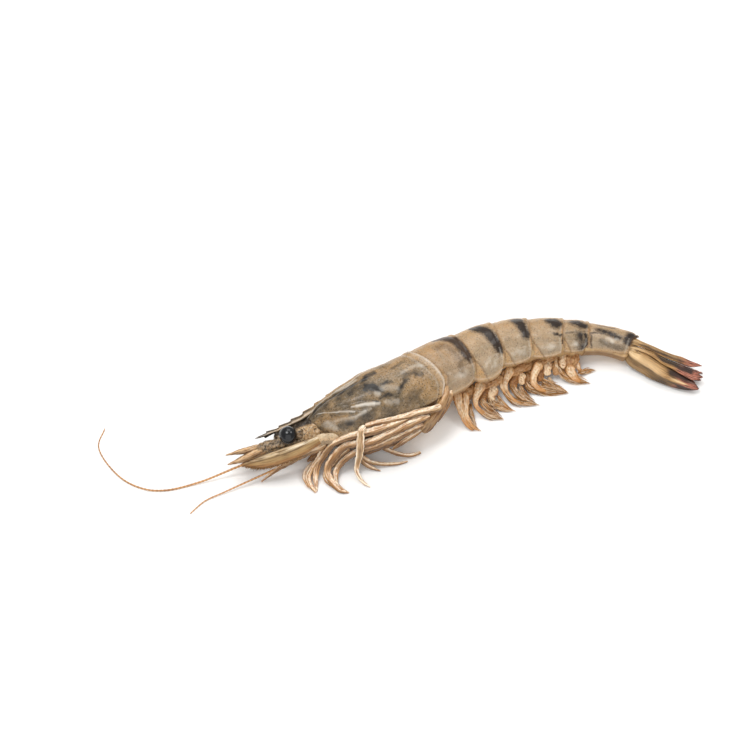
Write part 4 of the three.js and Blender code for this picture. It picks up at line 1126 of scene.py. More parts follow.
def lofted(lines, bend, thick, form):
    """A leaf lofted over three lines, from v = -1 over 0 to 1. Each point is the lines' mean weighed by how
    near v is to them, the fold at the middle line eased over `bend`. Its faces stand off by a lens, with
    `form`'s relief."""
    steps, columns = 110, 44
    rows = []
    for line in lines:
        path, run = spline([spot(*p) for p in line], 0.25)
        share = np.linspace(0, run[-1], steps)
        rows.append(np.stack([np.interp(share, run, path[:, i]) for i in range(3)], -1))
    v = np.sin(np.linspace(-np.pi / 2, np.pi / 2, columns))
    shifts = np.linspace(-bend, bend, 9)[:, None]
    places = np.clip(v + shifts, -1, 1)
    weights = [np.maximum(0, 1 - np.abs(places - k)).mean(0) for k in (-1, 0, 1)]
    middle = sum(row[:, None] * w[None, :, None] for row, w in zip(rows, weights))
    out = np.cross(np.gradient(middle, axis=0), np.gradient(middle, axis=1))
    out /= np.linalg.norm(out, axis=2, keepdims=True) + 1e-9
    out *= np.sign((out * FACE).sum(-1).sum())
    u = np.linspace(0, 1, steps)[:, None] + 0 * v
    v = v + 0 * u
    half = sum(np.linalg.norm(row - rows[1], axis=1) for row in (rows[0], rows[2]))[:, None] / 2
    ends = np.sqrt(np.clip((1 - u) / 0.06, 0, 1)) * np.sqrt(np.clip(u / 0.03, 0, 1))
    lens = np.sqrt(np.clip(1 - v**2, 0, 1)) * thick * ends
    relief, marks = form(u, v)
    outer = over_table(middle + out * (lens + relief * np.clip(half / 2, 0, 1) * ends)[..., None])
    inner = over_table(middle - out * lens[..., None])
    run = np.concatenate([[0], np.cumsum(np.linalg.norm(np.diff(rows[1], axis=0), axis=1))])
    return slab(outer, inner, marks, joined(run[:, None], v * half, 0 * v))


# ---------------------------------------------------------------- materials


def linear(colour):
    """A colour written as sRGB hex, as linear red, green, blue and full alpha."""
    c = np.array([int(colour[i : i + 2], 16) for i in (1, 3, 5)]) / 255
    return (*np.where(c <= 0.04045, c / 12.92, ((c + 0.055) / 1.055) ** 2.4), 1.0)


# The kinds of node that the materials are made of, each with its settings.
TIMES = ("ShaderNodeMath", {"operation": "MULTIPLY"})
PLUS = ("ShaderNodeMath", {"operation": "ADD"})
MINUS = ("ShaderNodeMath", {"operation": "SUBTRACT"})
MIX = ("ShaderNodeMix", {"data_type": "RGBA"})
RANGE = ("ShaderNodeMapRange", {"clamp": True})
NOISE = ("ShaderNodeTexNoise", {})
SCATTER = ("ShaderNodeTexVoronoi", {})  # the distance to the nearest of scattered points
PLACE = ("ShaderNodeMapping", {})
SPLIT = ("ShaderNodeSeparateColor", {})
BUMP = ("ShaderNodeBump", {})
MARKS = ("ShaderNodeAttribute", {"attribute_name": "marks"})
STRAIGHT = ("ShaderNodeAttribute", {"attribute_name": "straight"})


class Finish:
    """A material under way: its tree, its shader, the piece's marks and its straightened place."""

    def __init__(self, name, roughness, coat, coat_roughness, ior, soft=0.0):
        self.material = bpy.data.materials.new(name)
        self.material.use_nodes = True
        self.tree = self.material.node_tree
        self.shader = self.tree.nodes["Principled BSDF"]
        self.shader.inputs["Roughness"].default_value = roughness
        self.shader.inputs["IOR"].default_value = ior
        self.shader.inputs["Coat Weight"].default_value = coat
        self.shader.inputs["Coat Roughness"].default_value = coat_roughness
        if soft:
            self.shader.inputs["Subsurface Weight"].default_value = soft
            self.shader.inputs["Subsurface Radius"].default_value = (1.0, 0.55, 0.3)
            self.shader.inputs["Subsurface Scale"].default_value = 1.2 * MM
        marks = self.node(MARKS)
        self.dark, self.pale, self.warm = self.node(SPLIT, marks).node.outputs
        self.shade = marks.node.outputs["Alpha"]
        self.place = self.node(STRAIGHT).node.outputs["Vector"]

    def node(self, kind, *values):
        """Adds a node of that kind and gives its first output in use. The values fill its inputs in use, in
        order: an output is joined on, a number or a hex colour is set, and None leaves the input as it is."""
        name, settings = kind
        made = self.tree.nodes.new(name)
        for key, setting in settings.items():
            setattr(made, key, setting)
        for socket, value in zip([socket for socket in made.inputs if socket.enabled], values):
            if isinstance(value, bpy.types.NodeSocket):
                self.tree.links.new(value, socket)
            elif value is not None:
                socket.default_value = linear(value) if isinstance(value, str) else value
        return next(socket for socket in made.outputs if socket.enabled)

    def grain(self, kind, size, *values, stretch=(1, 1, 1), shift=None):
        """A texture of that kind with a grain of `size` millimetres, drawn out along the piece by `stretch`.
        The values follow its scale: for noise its detail and roughness."""
        scale = tuple(1.0 / (size * k) for k in stretch)
        return self.node(kind, self.node(PLACE, self.place, shift, None, scale), 1.0, *values)

    def close(self, colour, height=None, strength=0.3, depth=0.1):
        """Joins the colour and a bump of `depth` millimetres to the shader."""
        self.tree.links.new(colour, self.shader.inputs["Base Color"])
        if height is not None:
            bump = self.node(BUMP, strength, depth * MM, None, height)
            self.tree.links.new(bump, self.shader.inputs["Normal"])
        return self.material


def chitin_shell(name, tan, olive, dark_tint, pale_tint, warm_tint, shade_tint, freckle, soft):
    """Raw crustacean shell: thin horny chitin, damp, with pigment cells that show as freckles under a clear
    skin. The eye sees soft mottling, freckles under half a millimetre, dark patches with ragged edges and a
    wet gleam."""
    f = Finish(name, 0.38, 0.22, 0.2, 1.35, soft)
    cloud = f.grain(NOISE, 6.0, 4.0, 0.6)
    fine = f.grain(NOISE, 0.8, 2.0, 0.5, shift=(3, 1, 4))
    ragged = f.grain(NOISE, 0.8, 3.0, 0.65, stretch=(1.6, 1, 1), shift=(9, 2, 6))
    colour = f.node(MIX, f.node(RANGE, cloud, 0.35, 0.65), olive, tan)
    colour = f.node(MIX, f.node(TIMES, f.warm, f.node(RANGE, ragged, 0.0, 0.7)), colour, warm_tint)
    colour = f.node(MIX, f.node(TIMES, f.node(RANGE, fine, 0.45, 0.75), 0.16), colour, pale_tint)
    speck = f.node(RANGE, f.grain(SCATTER, 0.8), 0.36, 0.14)
    clumps = f.node(RANGE, f.grain(NOISE, 4.0, 2.0, 0.5, shift=(5, 5, 1)), 0.22, 0.5)
    freckles = f.node(TIMES, f.node(TIMES, speck, clumps), freckle)
    colour = f.node(MIX, freckles, colour, dark_tint)
    edge = f.node(PLUS, f.dark, f.node(TIMES, f.node(MINUS, ragged, 0.5), 0.7))
    patch = f.node(TIMES, f.node(RANGE, edge, 0.0, 0.85), f.node(RANGE, f.dark, 0.02, 0.3))
    colour = f.node(MIX, f.node(TIMES, patch, 0.97), colour, dark_tint)
    # pale_tint takes the pale marks, among them painted highlights
    light = f.node(PLUS, f.pale, f.node(TIMES, f.node(MINUS, ragged, 0.5), 0.35))
    light = f.node(TIMES, f.node(RANGE, light, 0.1, 0.95), f.node(RANGE, f.pale, 0.02, 0.25))
    colour = f.node(MIX, f.node(TIMES, light, 0.85), colour, pale_tint)
    # shade_tint takes the shade mark: painted shade, and plate 1's darker tone
    colour = f.node(MIX, f.shade, colour, shade_tint)
    height = f.node(PLUS, f.node(TIMES, fine, 0.6), f.node(TIMES, ragged, 0.4))
    return f.close(colour, height, 0.2, 0.06)


def soft_skin():
    """The soft skin and flesh of the belly: matt, milky and translucent, with painted shade, a darker brown,
    on its underside, where its folds are.
    """
    f = Finish("belly_skin", 0.5, 0.25, 0.3, 1.4, 0.25)
    colour = f.node(MIX, f.node(RANGE, f.grain(NOISE, 2.5, 4.0, 0.6), 0.3, 0.7), "#a98150", "#cfae80")
    colour = f.node(MIX, f.shade, colour, "#74512a")
    return f.close(colour, f.grain(NOISE, 0.8, 3.0, 0.6), 0.4, 0.15)


def horny_limb(name, low, high, streak_tint, warm_tint, pale_tint, dark_tint):
    """Legs, feelers and their scales: horny, damp and a little translucent, streaked along their length."""
    f = Finish(name, 0.40, 0.22, 0.18, 1.36, 0.12)
    streak = f.grain(NOISE, 0.55, 3.0, 0.6, stretch=(12, 1, 1))
    cloud = f.grain(NOISE, 3.0, 3.0, 0.55, stretch=(3, 1, 1), shift=(4, 7, 2))
    colour = f.node(MIX, f.node(RANGE, cloud, 0.32, 0.68), low, high)
    colour = f.node(MIX, f.node(TIMES, f.warm, 0.75), colour, warm_tint)
    # pale_tint takes the pale marks, which are painted highlights
    colour = f.node(MIX, f.node(TIMES, f.pale, f.node(RANGE, streak, 0.30, 0.55)), colour, pale_tint)
    colour = f.node(MIX, f.node(TIMES, f.node(RANGE, streak, 0.50, 0.36), 0.75), colour, streak_tint)
    # dark_tint takes the dark marks, on legs, feelers and folds mostly painted shade
    colour = f.node(MIX, f.node(TIMES, f.dark, 0.9), colour, dark_tint)
    return f.close(colour, streak, 0.5, 0.15)


def swimming_limb():
    """Swimming legs: soft milky stems and feathery blades, their fine ribs running out into bristles."""
    f = Finish("swimmer_shell", 0.45, 0.15, 0.25, 1.36, 0.15)
    streak = f.grain(NOISE, 0.4, 3.0, 0.65, stretch=(9, 1, 1))
    colour = f.node(MIX, f.node(RANGE, f.grain(NOISE, 1.8, 4.0, 0.6), 0.35, 0.65), "#b98446", "#dcb680")
    colour = f.node(MIX, f.node(TIMES, f.warm, 0.85), colour, "#c07c36")
    colour = f.node(MIX, f.node(TIMES, f.pale, 0.9), colour, "#f4e4c8")
    colour = f.node(MIX, f.node(TIMES, f.node(RANGE, streak, 0.5, 0.36), 0.6), colour, "#824a18")
    # the dark marks: pits, brown strands and blade cores, and painted shade in furrows and hollows
    colour = f.node(MIX, f.node(TIMES, f.dark, 0.85), colour, "#4f2a0c")
    return f.close(colour, streak, 0.5, 0.15)


def fan_shell():
    """Tail fan: thick ribbed chitin, golden at the root and wine red at the tips, with black streaks."""
    f = Finish("fan_shell", 0.38, 0.22, 0.18, 1.36, 0.05)
    streak = f.grain(NOISE, 0.5, 4.0, 0.6, stretch=(9, 1, 1))
    broad = f.grain(NOISE, 1.3, 3.0, 0.55, stretch=(6, 1, 1), shift=(2, 8, 3))
    colour = f.node(MIX, f.node(RANGE, streak, 0.35, 0.65), "#75502a", "#bd9158")
    # pale takes pale marks, among them painted highlights: the outer leaf's glint, the telson's upper edge
    colour = f.node(MIX, f.node(TIMES, f.pale, 0.9), colour, "#e6c596")
    # dim, by the shade mark: painted shade on the fan's roots, a dimmer telson, the outer leaves' olive lower
    # faces
    dim = f.node(MIX, f.node(RANGE, streak, 0.3, 0.7), "#45300f", "#7d5d30")
    colour = f.node(MIX, f.node(TIMES, f.shade, 0.95), colour, dim)
    tips = f.node(PLUS, f.warm, f.node(TIMES, f.node(MINUS, broad, 0.5), 0.7))
    tips = f.node(TIMES, f.node(RANGE, tips, 0.3, 0.8), f.node(RANGE, f.warm, 0.05, 0.3))
    red = f.node(MIX, f.node(RANGE, streak, 0.36, 0.62), "#3f1d18", "#c47c62")
    colour = f.node(MIX, tips, colour, red)
    black = f.node(PLUS, f.dark, f.node(TIMES, f.node(MINUS, broad, 0.5), 1.3))
    black = f.node(TIMES, f.node(RANGE, black, 0.3, 0.75), f.node(RANGE, f.dark, 0.02, 0.2))
    colour = f.node(MIX, f.node(TIMES, black, 0.92), colour, "#231a15")
    return f.close(colour, streak, 0.6, 0.18)


def eye_glass():
    """Stalked compound eye: black facets under a clear wet cornea, so that only its reflections show."""
    f = Finish("eye_cornea", 0.25, 0.5, 0.04, 1.3)
    colour = f.node(MIX, f.node(RANGE, f.grain(NOISE, 1.5, 2.0, 0.5), 0.3, 0.8), "#050506", "#101116")
    return f.close(colour)


SHELL = chitin_shell(
    "head_chitin", "#967a55", "#6d5c43", "#211d19", "#e2d9cc",
    "#b18855", "#5c422a", 0.85, 0.06,
)
PLATE = chitin_shell(
    "plate_chitin", "#a78f72", "#8f7d64", "#1c0e06", "#ddd3c4",
    "#bd9159", "#6c4c2e", 0.5, 0.12,
)
FRONT = chitin_shell(
    "face_chitin", "#b0936c", "#80694a", "#221a12", "#dcc9ab",
    "#bd9160", "#4c3621", 0.95, 0.08,
)
LIMB = horny_limb("leg_shell", "#cf9f66", "#e4c294", "#8e5826", "#c88a4a", "#fbecd6", "#40220b")
SCALE_LEAF = horny_limb("scale_leaf", "#83653c", "#b0905e", "#5c401e", "#8c5a26", "#ecdcc0", "#38220e")
SKIN, SWIM, FAN_SHELL, EYE = soft_skin(), swimming_limb(), fan_shell(), eye_glass()

# ---------------------------------------------------------------- making the pieces

piece("shell", [head_shell(), beak()], [SHELL], ["head_shell"])
for k in range(6):
    piece(f"plate_{k + 1}", tail_plate(k), [PLATE, SKIN], [f"tail_plate_{k + 1}"])


def telson_form(u, v):
    """The middle spike: a keel with a groove each side, black streaks along it and a red tip."""
    relief = 0.30 * bell(v + 0.1, 0.16) - 0.25 * bell(v - 0.25, 0.14)
    relief = relief + 0.18 * bell(v - 0.55, 0.14) - 0.15 * bell(v + 0.45, 0.15)
    marks = marks_on(
        u.shape,
        dark=0.6 * smooth((u - 0.05) / 0.2) * smooth((0.9 - u) / 0.2) * bell(v - 0.2, 0.6)
        + 0.7 * bell(v - 0.95, 0.15),
        # the pale line along the upper edge is a painted highlight
        pale=0.75 * bell(v + 0.9, 0.2) * smooth((0.8 - u) / 0.3)
        + 0.5 * bell(v + 0.1, 0.12)
        + 0.3 * bell(u - 0.1, 0.1),
        warm=0.85 * smooth((u - 0.5) / 0.4),
        shade=0.3,
    )
    return relief, marks


def inner_form(u, v):
    """The inner leaf: ribs along it, golden at the root, black and wine red beyond half its length."""
    relief = 0.25 * bell(v + 0.45, 0.10) + 0.12 * bell(v, 0.12)
    relief = relief - 0.12 * bell(v + 0.2, 0.1) + 0.05 * np.cos(16 * v)
    marks = marks_on(
        u.shape,
        dark=0.85 * bell(v + 0.95, 0.3)
        + 0.9 * smooth((u - 0.2) / 0.3) * bell(v + 0.2, 0.55) * smooth((0.92 - u) / 0.1),
        pale=0.8 * smooth((0.4 - u) / 0.3) * bell(v - 0.3, 0.6)
        + 0.9 * bell(v + 0.45, 0.12) * smooth((u - 0.4) / 0.1),
        warm=smooth((u - 0.5) / 0.3),
    )
    return relief, marks


def outer_form(u, v):
    """The outer leaf, folded like a roof at v = 0: golden to wine red above the fold, olive below it."""
    relief = 0.22 * bell(v, 0.14) - 0.15 * bell(v - 0.5, 0.4)
    relief = relief - 0.12 * bell(v + 0.4, 0.3) + 0.03 * np.cos(20 * v)
    lower = smooth((v - 0.1) / 0.12)
    far = smooth((u - 0.50 - 0.14 * bell(v, 0.3) - 0.08 * lower) / 0.2)
    glint = bell(v + 0.06, 0.09) * bell(u - 0.76, 0.11)
    marks = marks_on(
        u.shape,
        dark=0.95 * bell(u - 0.70, 0.2) * bell(v + 0.5, 0.42)
        + 0.6 * bell(v + 0.9, 0.3) * smooth((u - 0.15) / 0.2)
        + 0.45 * bell(v - 0.16, 0.07) * smooth((0.9 - u) / 0.3)
        + 0.5 * smooth((v - 0.93) / 0.07)
        + 0.55 * bell(u - 0.82, 0.1) * smooth((v - 0.05) / 0.2)
        + 0.45 * smooth((v - 0.1) / 0.3) * smooth((u - 0.2) / 0.3),
        pale=(0.15 + 0.5 * bell(v + 0.1, 0.12 + 0.3 * (1 - u))) * smooth((0.62 - u) / 0.2)
        + 0.95 * bell(u - 0.12, 0.06) * bell(v + 0.3, 0.3)
        + 1.2 * glint
        + 0.3 * bell(v - 0.85, 0.12) * smooth((0.5 - u) / 0.3),
        warm=far * (1 - glint),
        shade=0.95 * lower * (1 - 0.75 * far) * (1 - 0.5 * bell(v - 0.7, 0.2) * smooth((0.5 - u) / 0.2)),
    )
    return relief, marks


FORMS = {
    "telson": telson_form,
    "uropod_inner_left": inner_form,
    "uropod_inner_right": inner_form,
    "uropod_outer_left": outer_form,
    "uropod_outer_right": outer_form,
}
for name, lines in FAN_TOP.items():
    bend = 0.12 if name == "uropod_outer_left" else 0.8
    leaf_top = lofted(lines, bend, 0.35, FORMS[name])
    piece(name + "_leaf", [leaf_top], [FAN_SHELL], [name])
for name, (rows, across, halves, thicks) in FAN_UNDER.items():
    sheet, base = leaf(rows, across, halves, thicks, FORMS[name])
    parts = [sheet] + [fringe(base, edge, 0.45, 90, 1.1, 1.4, 0.05, (0.5, 0, 0.9, 0)) for edge in (-1, 1)]
    piece(name + "_leaf", parts, [FAN_SHELL], [name])


def stub_tone(share, lines, spots, top, under, edge):
    """The fan's roots are golden, with a white patch on top, painted shade in their furrows and along their
    edges, and brown painted shade below.
    """
    dark = 0.4 * lines + 0.4 * smooth((edge - 0.85) / 0.1)
    pale = 0.2 * spots + 0.8 * bell(share - 0.45, 0.2) * smooth(top)
    return marks_on(share.shape, dark=dark, pale=pale, shade=0.3 + 0.7 * smooth((under - 0.3) / 0.3))


STUBS = {
    "uropod_base_left": ([spot(69.2, 9.6, 7.4), spot(72.6, 7.6, 7.4), spot(76.4, 5.2, 7.0)], [1.8, 2.0, 0.7]),
    "uropod_base_right": ([at(138.5, -2.2, -1.6), at(147.0, -2.3, -1.6)], [2.0, 2.0]),
}
for number, (name, (points, halves)) in enumerate(STUBS.items()):
    stub = strap(points, halves, 60 + number, stub_tone, 0.45)
    piece(name + "_stub", [stub], [FAN_SHELL], [name])


# The front of the head, ring by ring: s, half width, and how far it reaches to the back and to the belly.
FACE_RINGS = np.array([
    (-1.0, 4.6, 5.0, -7.4),
    (-5.0, 5.6, 5.6, -7.4),
    (-9.0, 5.4, 5.2, -6.4),
    (-12.5, 3.6, 4.9, -4.0),
    (-16.0, 2.4, 4.6, -1.6),
    (-20.5, 1.3, 4.4, 0.6),
])


def snout():
    """The front of the head between the eyes: rings drawn in from the shell's mouth to a wedge under the
    beak, lumpy with small plates, dark grey on top and mottled below."""
    angle = round_turn(110, -np.pi)
    u = np.linspace(0, 1, 90)[:, None]
    s = (FACE_RINGS[0, 0] + u * (FACE_RINGS[-1, 0] - FACE_RINGS[0, 0])) + 0 * angle
    half, top, low = (np.interp(-s, -FACE_RINGS[:, 0], FACE_RINGS[:, k]) for k in (1, 2, 3))
    middle = (top + low) / 2
    flat = np.stack([s, half * np.sin(angle), middle + (top - low) / 2 * np.cos(angle)], -1)
    lump = 0.30 * ripple(flat, 3.0, 80) + 0.16 * ripple(flat, 1.1, 81)
    closing = np.sqrt(np.clip(1 - np.clip((u - 0.9) / 0.1, 0, 1) ** 2, 0.03, 1))
    grow = (1 + lump / np.maximum(half, 2)) * closing
    l, d = flat[..., 1] * grow, middle + (flat[..., 2] - middle) * grow
    squiggle = bell(ripple(flat, 2.2, 82), 0.16) * smooth((ripple(flat, 4.0, 83) + 0.35) / 0.5)
    brow = smooth((d - 2.6) / 1.2)
    marks = marks_on(
        s.shape,
        dark=np.maximum(1.3 * squiggle * (d > -3), 0.85 * brow) + 0.5 * smooth((-14 - s) / 4),
        pale=0.45 * smooth(ripple(flat, 2.0, 84) / 0.5) * (1 - brow),
        warm=0.6,
        # darker towards the bottom: painted shade
        shade=0.3 * smooth((-5.5 - d) / 2),
    )
    return tube(at(s, l, d), marks, flat)


piece("face", [snout()], [FRONT], ["head_front"])


def ball(centre, radius, squash):
    """A slightly flattened ball."""
    up = np.linspace(0.02, np.pi - 0.02, 40)[:, None]
    turn = round_turn(60)
    sphere = radius * joined(np.sin(up) * np.cos(turn), np.sin(up) * np.sin(turn), np.cos(up))
    return tube(centre + sphere * np.array(squash), marks_on(sphere.shape[:2]), sphere)


def trunk_tone(share, spots, top, **_):
    """The small feelers' roots are mottled dark on tan, with streaks along them, and paler at their edges."""
    streak = 0.5 + 0.5 * np.sin(9 * top + 2 * share)
    crease = bell(spots - 0.5, 0.06)
    dark = (0.15 + 0.4 * streak + 0.2 * (1 - spots) + 0.8 * crease) * smooth((1.05 - share) / 0.3)
    return marks_on(share.shape, dark=dark, pale=0.35 * spots, warm=0.4 + 0.4 * share)


def lobe_tone(share, spots, top, under, **_):
    """The long feelers' root lobes have a painted highlight on top and browner painted shade below, with fine
    dark creases.
    """
    dark = 0.45 * smooth((under - 0.45) / 0.3) + 0.25 * bell(spots - 0.5, 0.05)
    pale, warm = 0.25 + 0.6 * spots * smooth(top), 0.3 + 0.5 * smooth(under / 0.5)
    return marks_on(share.shape, dark=dark, pale=pale, warm=warm)


def scale_form(u, v):
    """The antennal scale: a flat leaf with a stiff rib near its upper edge, painted bright as a highlight,
    tan with a warmer hem.
    """
    relief = 0.40 * bell(v - 0.62, 0.20) - 0.30 * bell(v - 0.22, 0.14)
    relief = relief - 0.15 * bell(v - 0.97, 0.1) + 0.05 * np.cos(18 * v)
    marks = marks_on(
        u.shape,
        dark=0.8 * bell(v - 0.20, 0.09) * smooth((u - 0.1) / 0.2)
        + 0.7 * smooth((v - 0.88) / 0.08)
        + 0.35 * smooth((-0.8 - v) / 0.2),
        pale=0.95 * bell(v - 0.60, 0.22) * (0.55 + 0.45 * np.cos(2.5 * u)),
        warm=0.9 * smooth((-0.25 - v) / 0.5) + 0.4 * smooth((u - 0.75) / 0.25),
    )
    return relief, marks


# The middle lines of the head's paired pieces on the left side, as s, l, d.
STALK = [(-7.6, 2.6, 0.2), (-12.6, 4.9, 1.4)]
SMALL_ROOT = [(-9.0, 2.4, -3.2), (-18, 2.8, -1.2), (-25, 2.5, 0.0), (-31, 2.0, 0.5)]
SMALL_UPPER = [(-25, 2.0, 0.6), (-28.6, 2.0, 0.7), (-34, 1.6, 1.5), (-41.3, 1.2, 2.1)]
SMALL_LOWER = [(-24, 2.6, -1.2), (-28.6, 2.6, -1.0), (-34, 2.8, -1.5), (-41.4, 2.8, -1.9)]
SCALE = [(-4.4, 9.4, -3.9), (-12, 9.2, -4.9), (-20, 7.8, -5.2), (-28.5, 6.0, -4.8), (-36, 4.0, -3.5)]
LOBE = [(5.4, 7.2, -6.0), (2.0, 7.6, -5.4), (-1.0, 8.1, -4.6), (-4.6, 8.8, -4.0), (-8.0, 8.9, -4.4)]
SCALE_HALVES, SCALE_THICKS = [1.7, 2.8, 3.0, 2.6, 0.3], [0.5, 0.6, 0.6, 0.5, 0.2]


def on_side(side, rows):
    """The points of rows of s, l, d on the left, or their mirror images on the right."""
    return [at(s, side * l, d) for s, l, d in rows]


for side, hand in ((1, "left"), (-1, "right")):
    centre = at(EYE_S, side * EYE_L, EYE_D)
    piece("eyeball_" + hand, [ball(centre, EYE_RADIUS, (1.0, 1.0, 0.97))], [EYE], ["eye_" + hand])
    stalk = strap(on_side(side, STALK), [2.2, 2.3], 3, trunk_tone, 0.85)
    piece("stalk_" + hand, [stalk], [FRONT], ["eye_stalk_" + hand])
    root = strap(on_side(side, SMALL_ROOT), [2.7, 2.9, 2.5, 1.0], 5, trunk_tone)
    upper = strap(on_side(side, SMALL_UPPER), [1.2, 1.7, 1.3, 0.2], 6, whip_tone, 0.6, material=1)
    lower = strap(on_side(side, SMALL_LOWER), [1.2, 1.9, 1.5, 0.2], 7, whip_tone, 0.6, material=1)
    piece("small_feeler_" + hand, [root, upper, lower], [FRONT, LIMB], ["antennule_" + hand])
    sheet, base = leaf(SCALE, (0, 1), SCALE_HALVES, SCALE_THICKS, scale_form, s_mid=-15.0, side=side)
    hem = fringe(base, -1, 0.25, 340, 1.7, 2.0, 0.10, (0.15, 0, 0.95, 0), stray=0.35)
    piece("scale_" + hand, [sheet, hem], [SCALE_LEAF], ["antenna_scale_" + hand])
    lobe = strap(on_side(side, LOBE), [1.4, 2.3, 2.4, 2.1, 1.2], 8, lobe_tone, 0.45)
    piece("feeler_root_" + hand, [lobe], [FRONT], ["antenna_base_" + hand])

for name, knots in FEELERS.items():
    piece(name + "_whip", [feeler(knots)], [LIMB], [name])
for number, (name, limbs) in enumerate(LEGS.items()):
    shapes = []
    for i, rows in enumerate(limbs):
        tone = LIMB_TONES.get((name, i), leg_tone)
        shapes.append(strap(*knots_of(rows, LEG_WIDEN), 100 + 4 * number + i, tone, 0.5))
    if name in SHADE_FOLDS:
        shapes.append(strap(*knots_of(SHADE_FOLDS[name]), 160 + number, shade_fold_tone, 0.6, furrows=1.5))
    piece(name + "_limb", shapes, [LIMB], [name])

BLADE_NARROW = 0.78
STRANDS_A_BLADE = 80
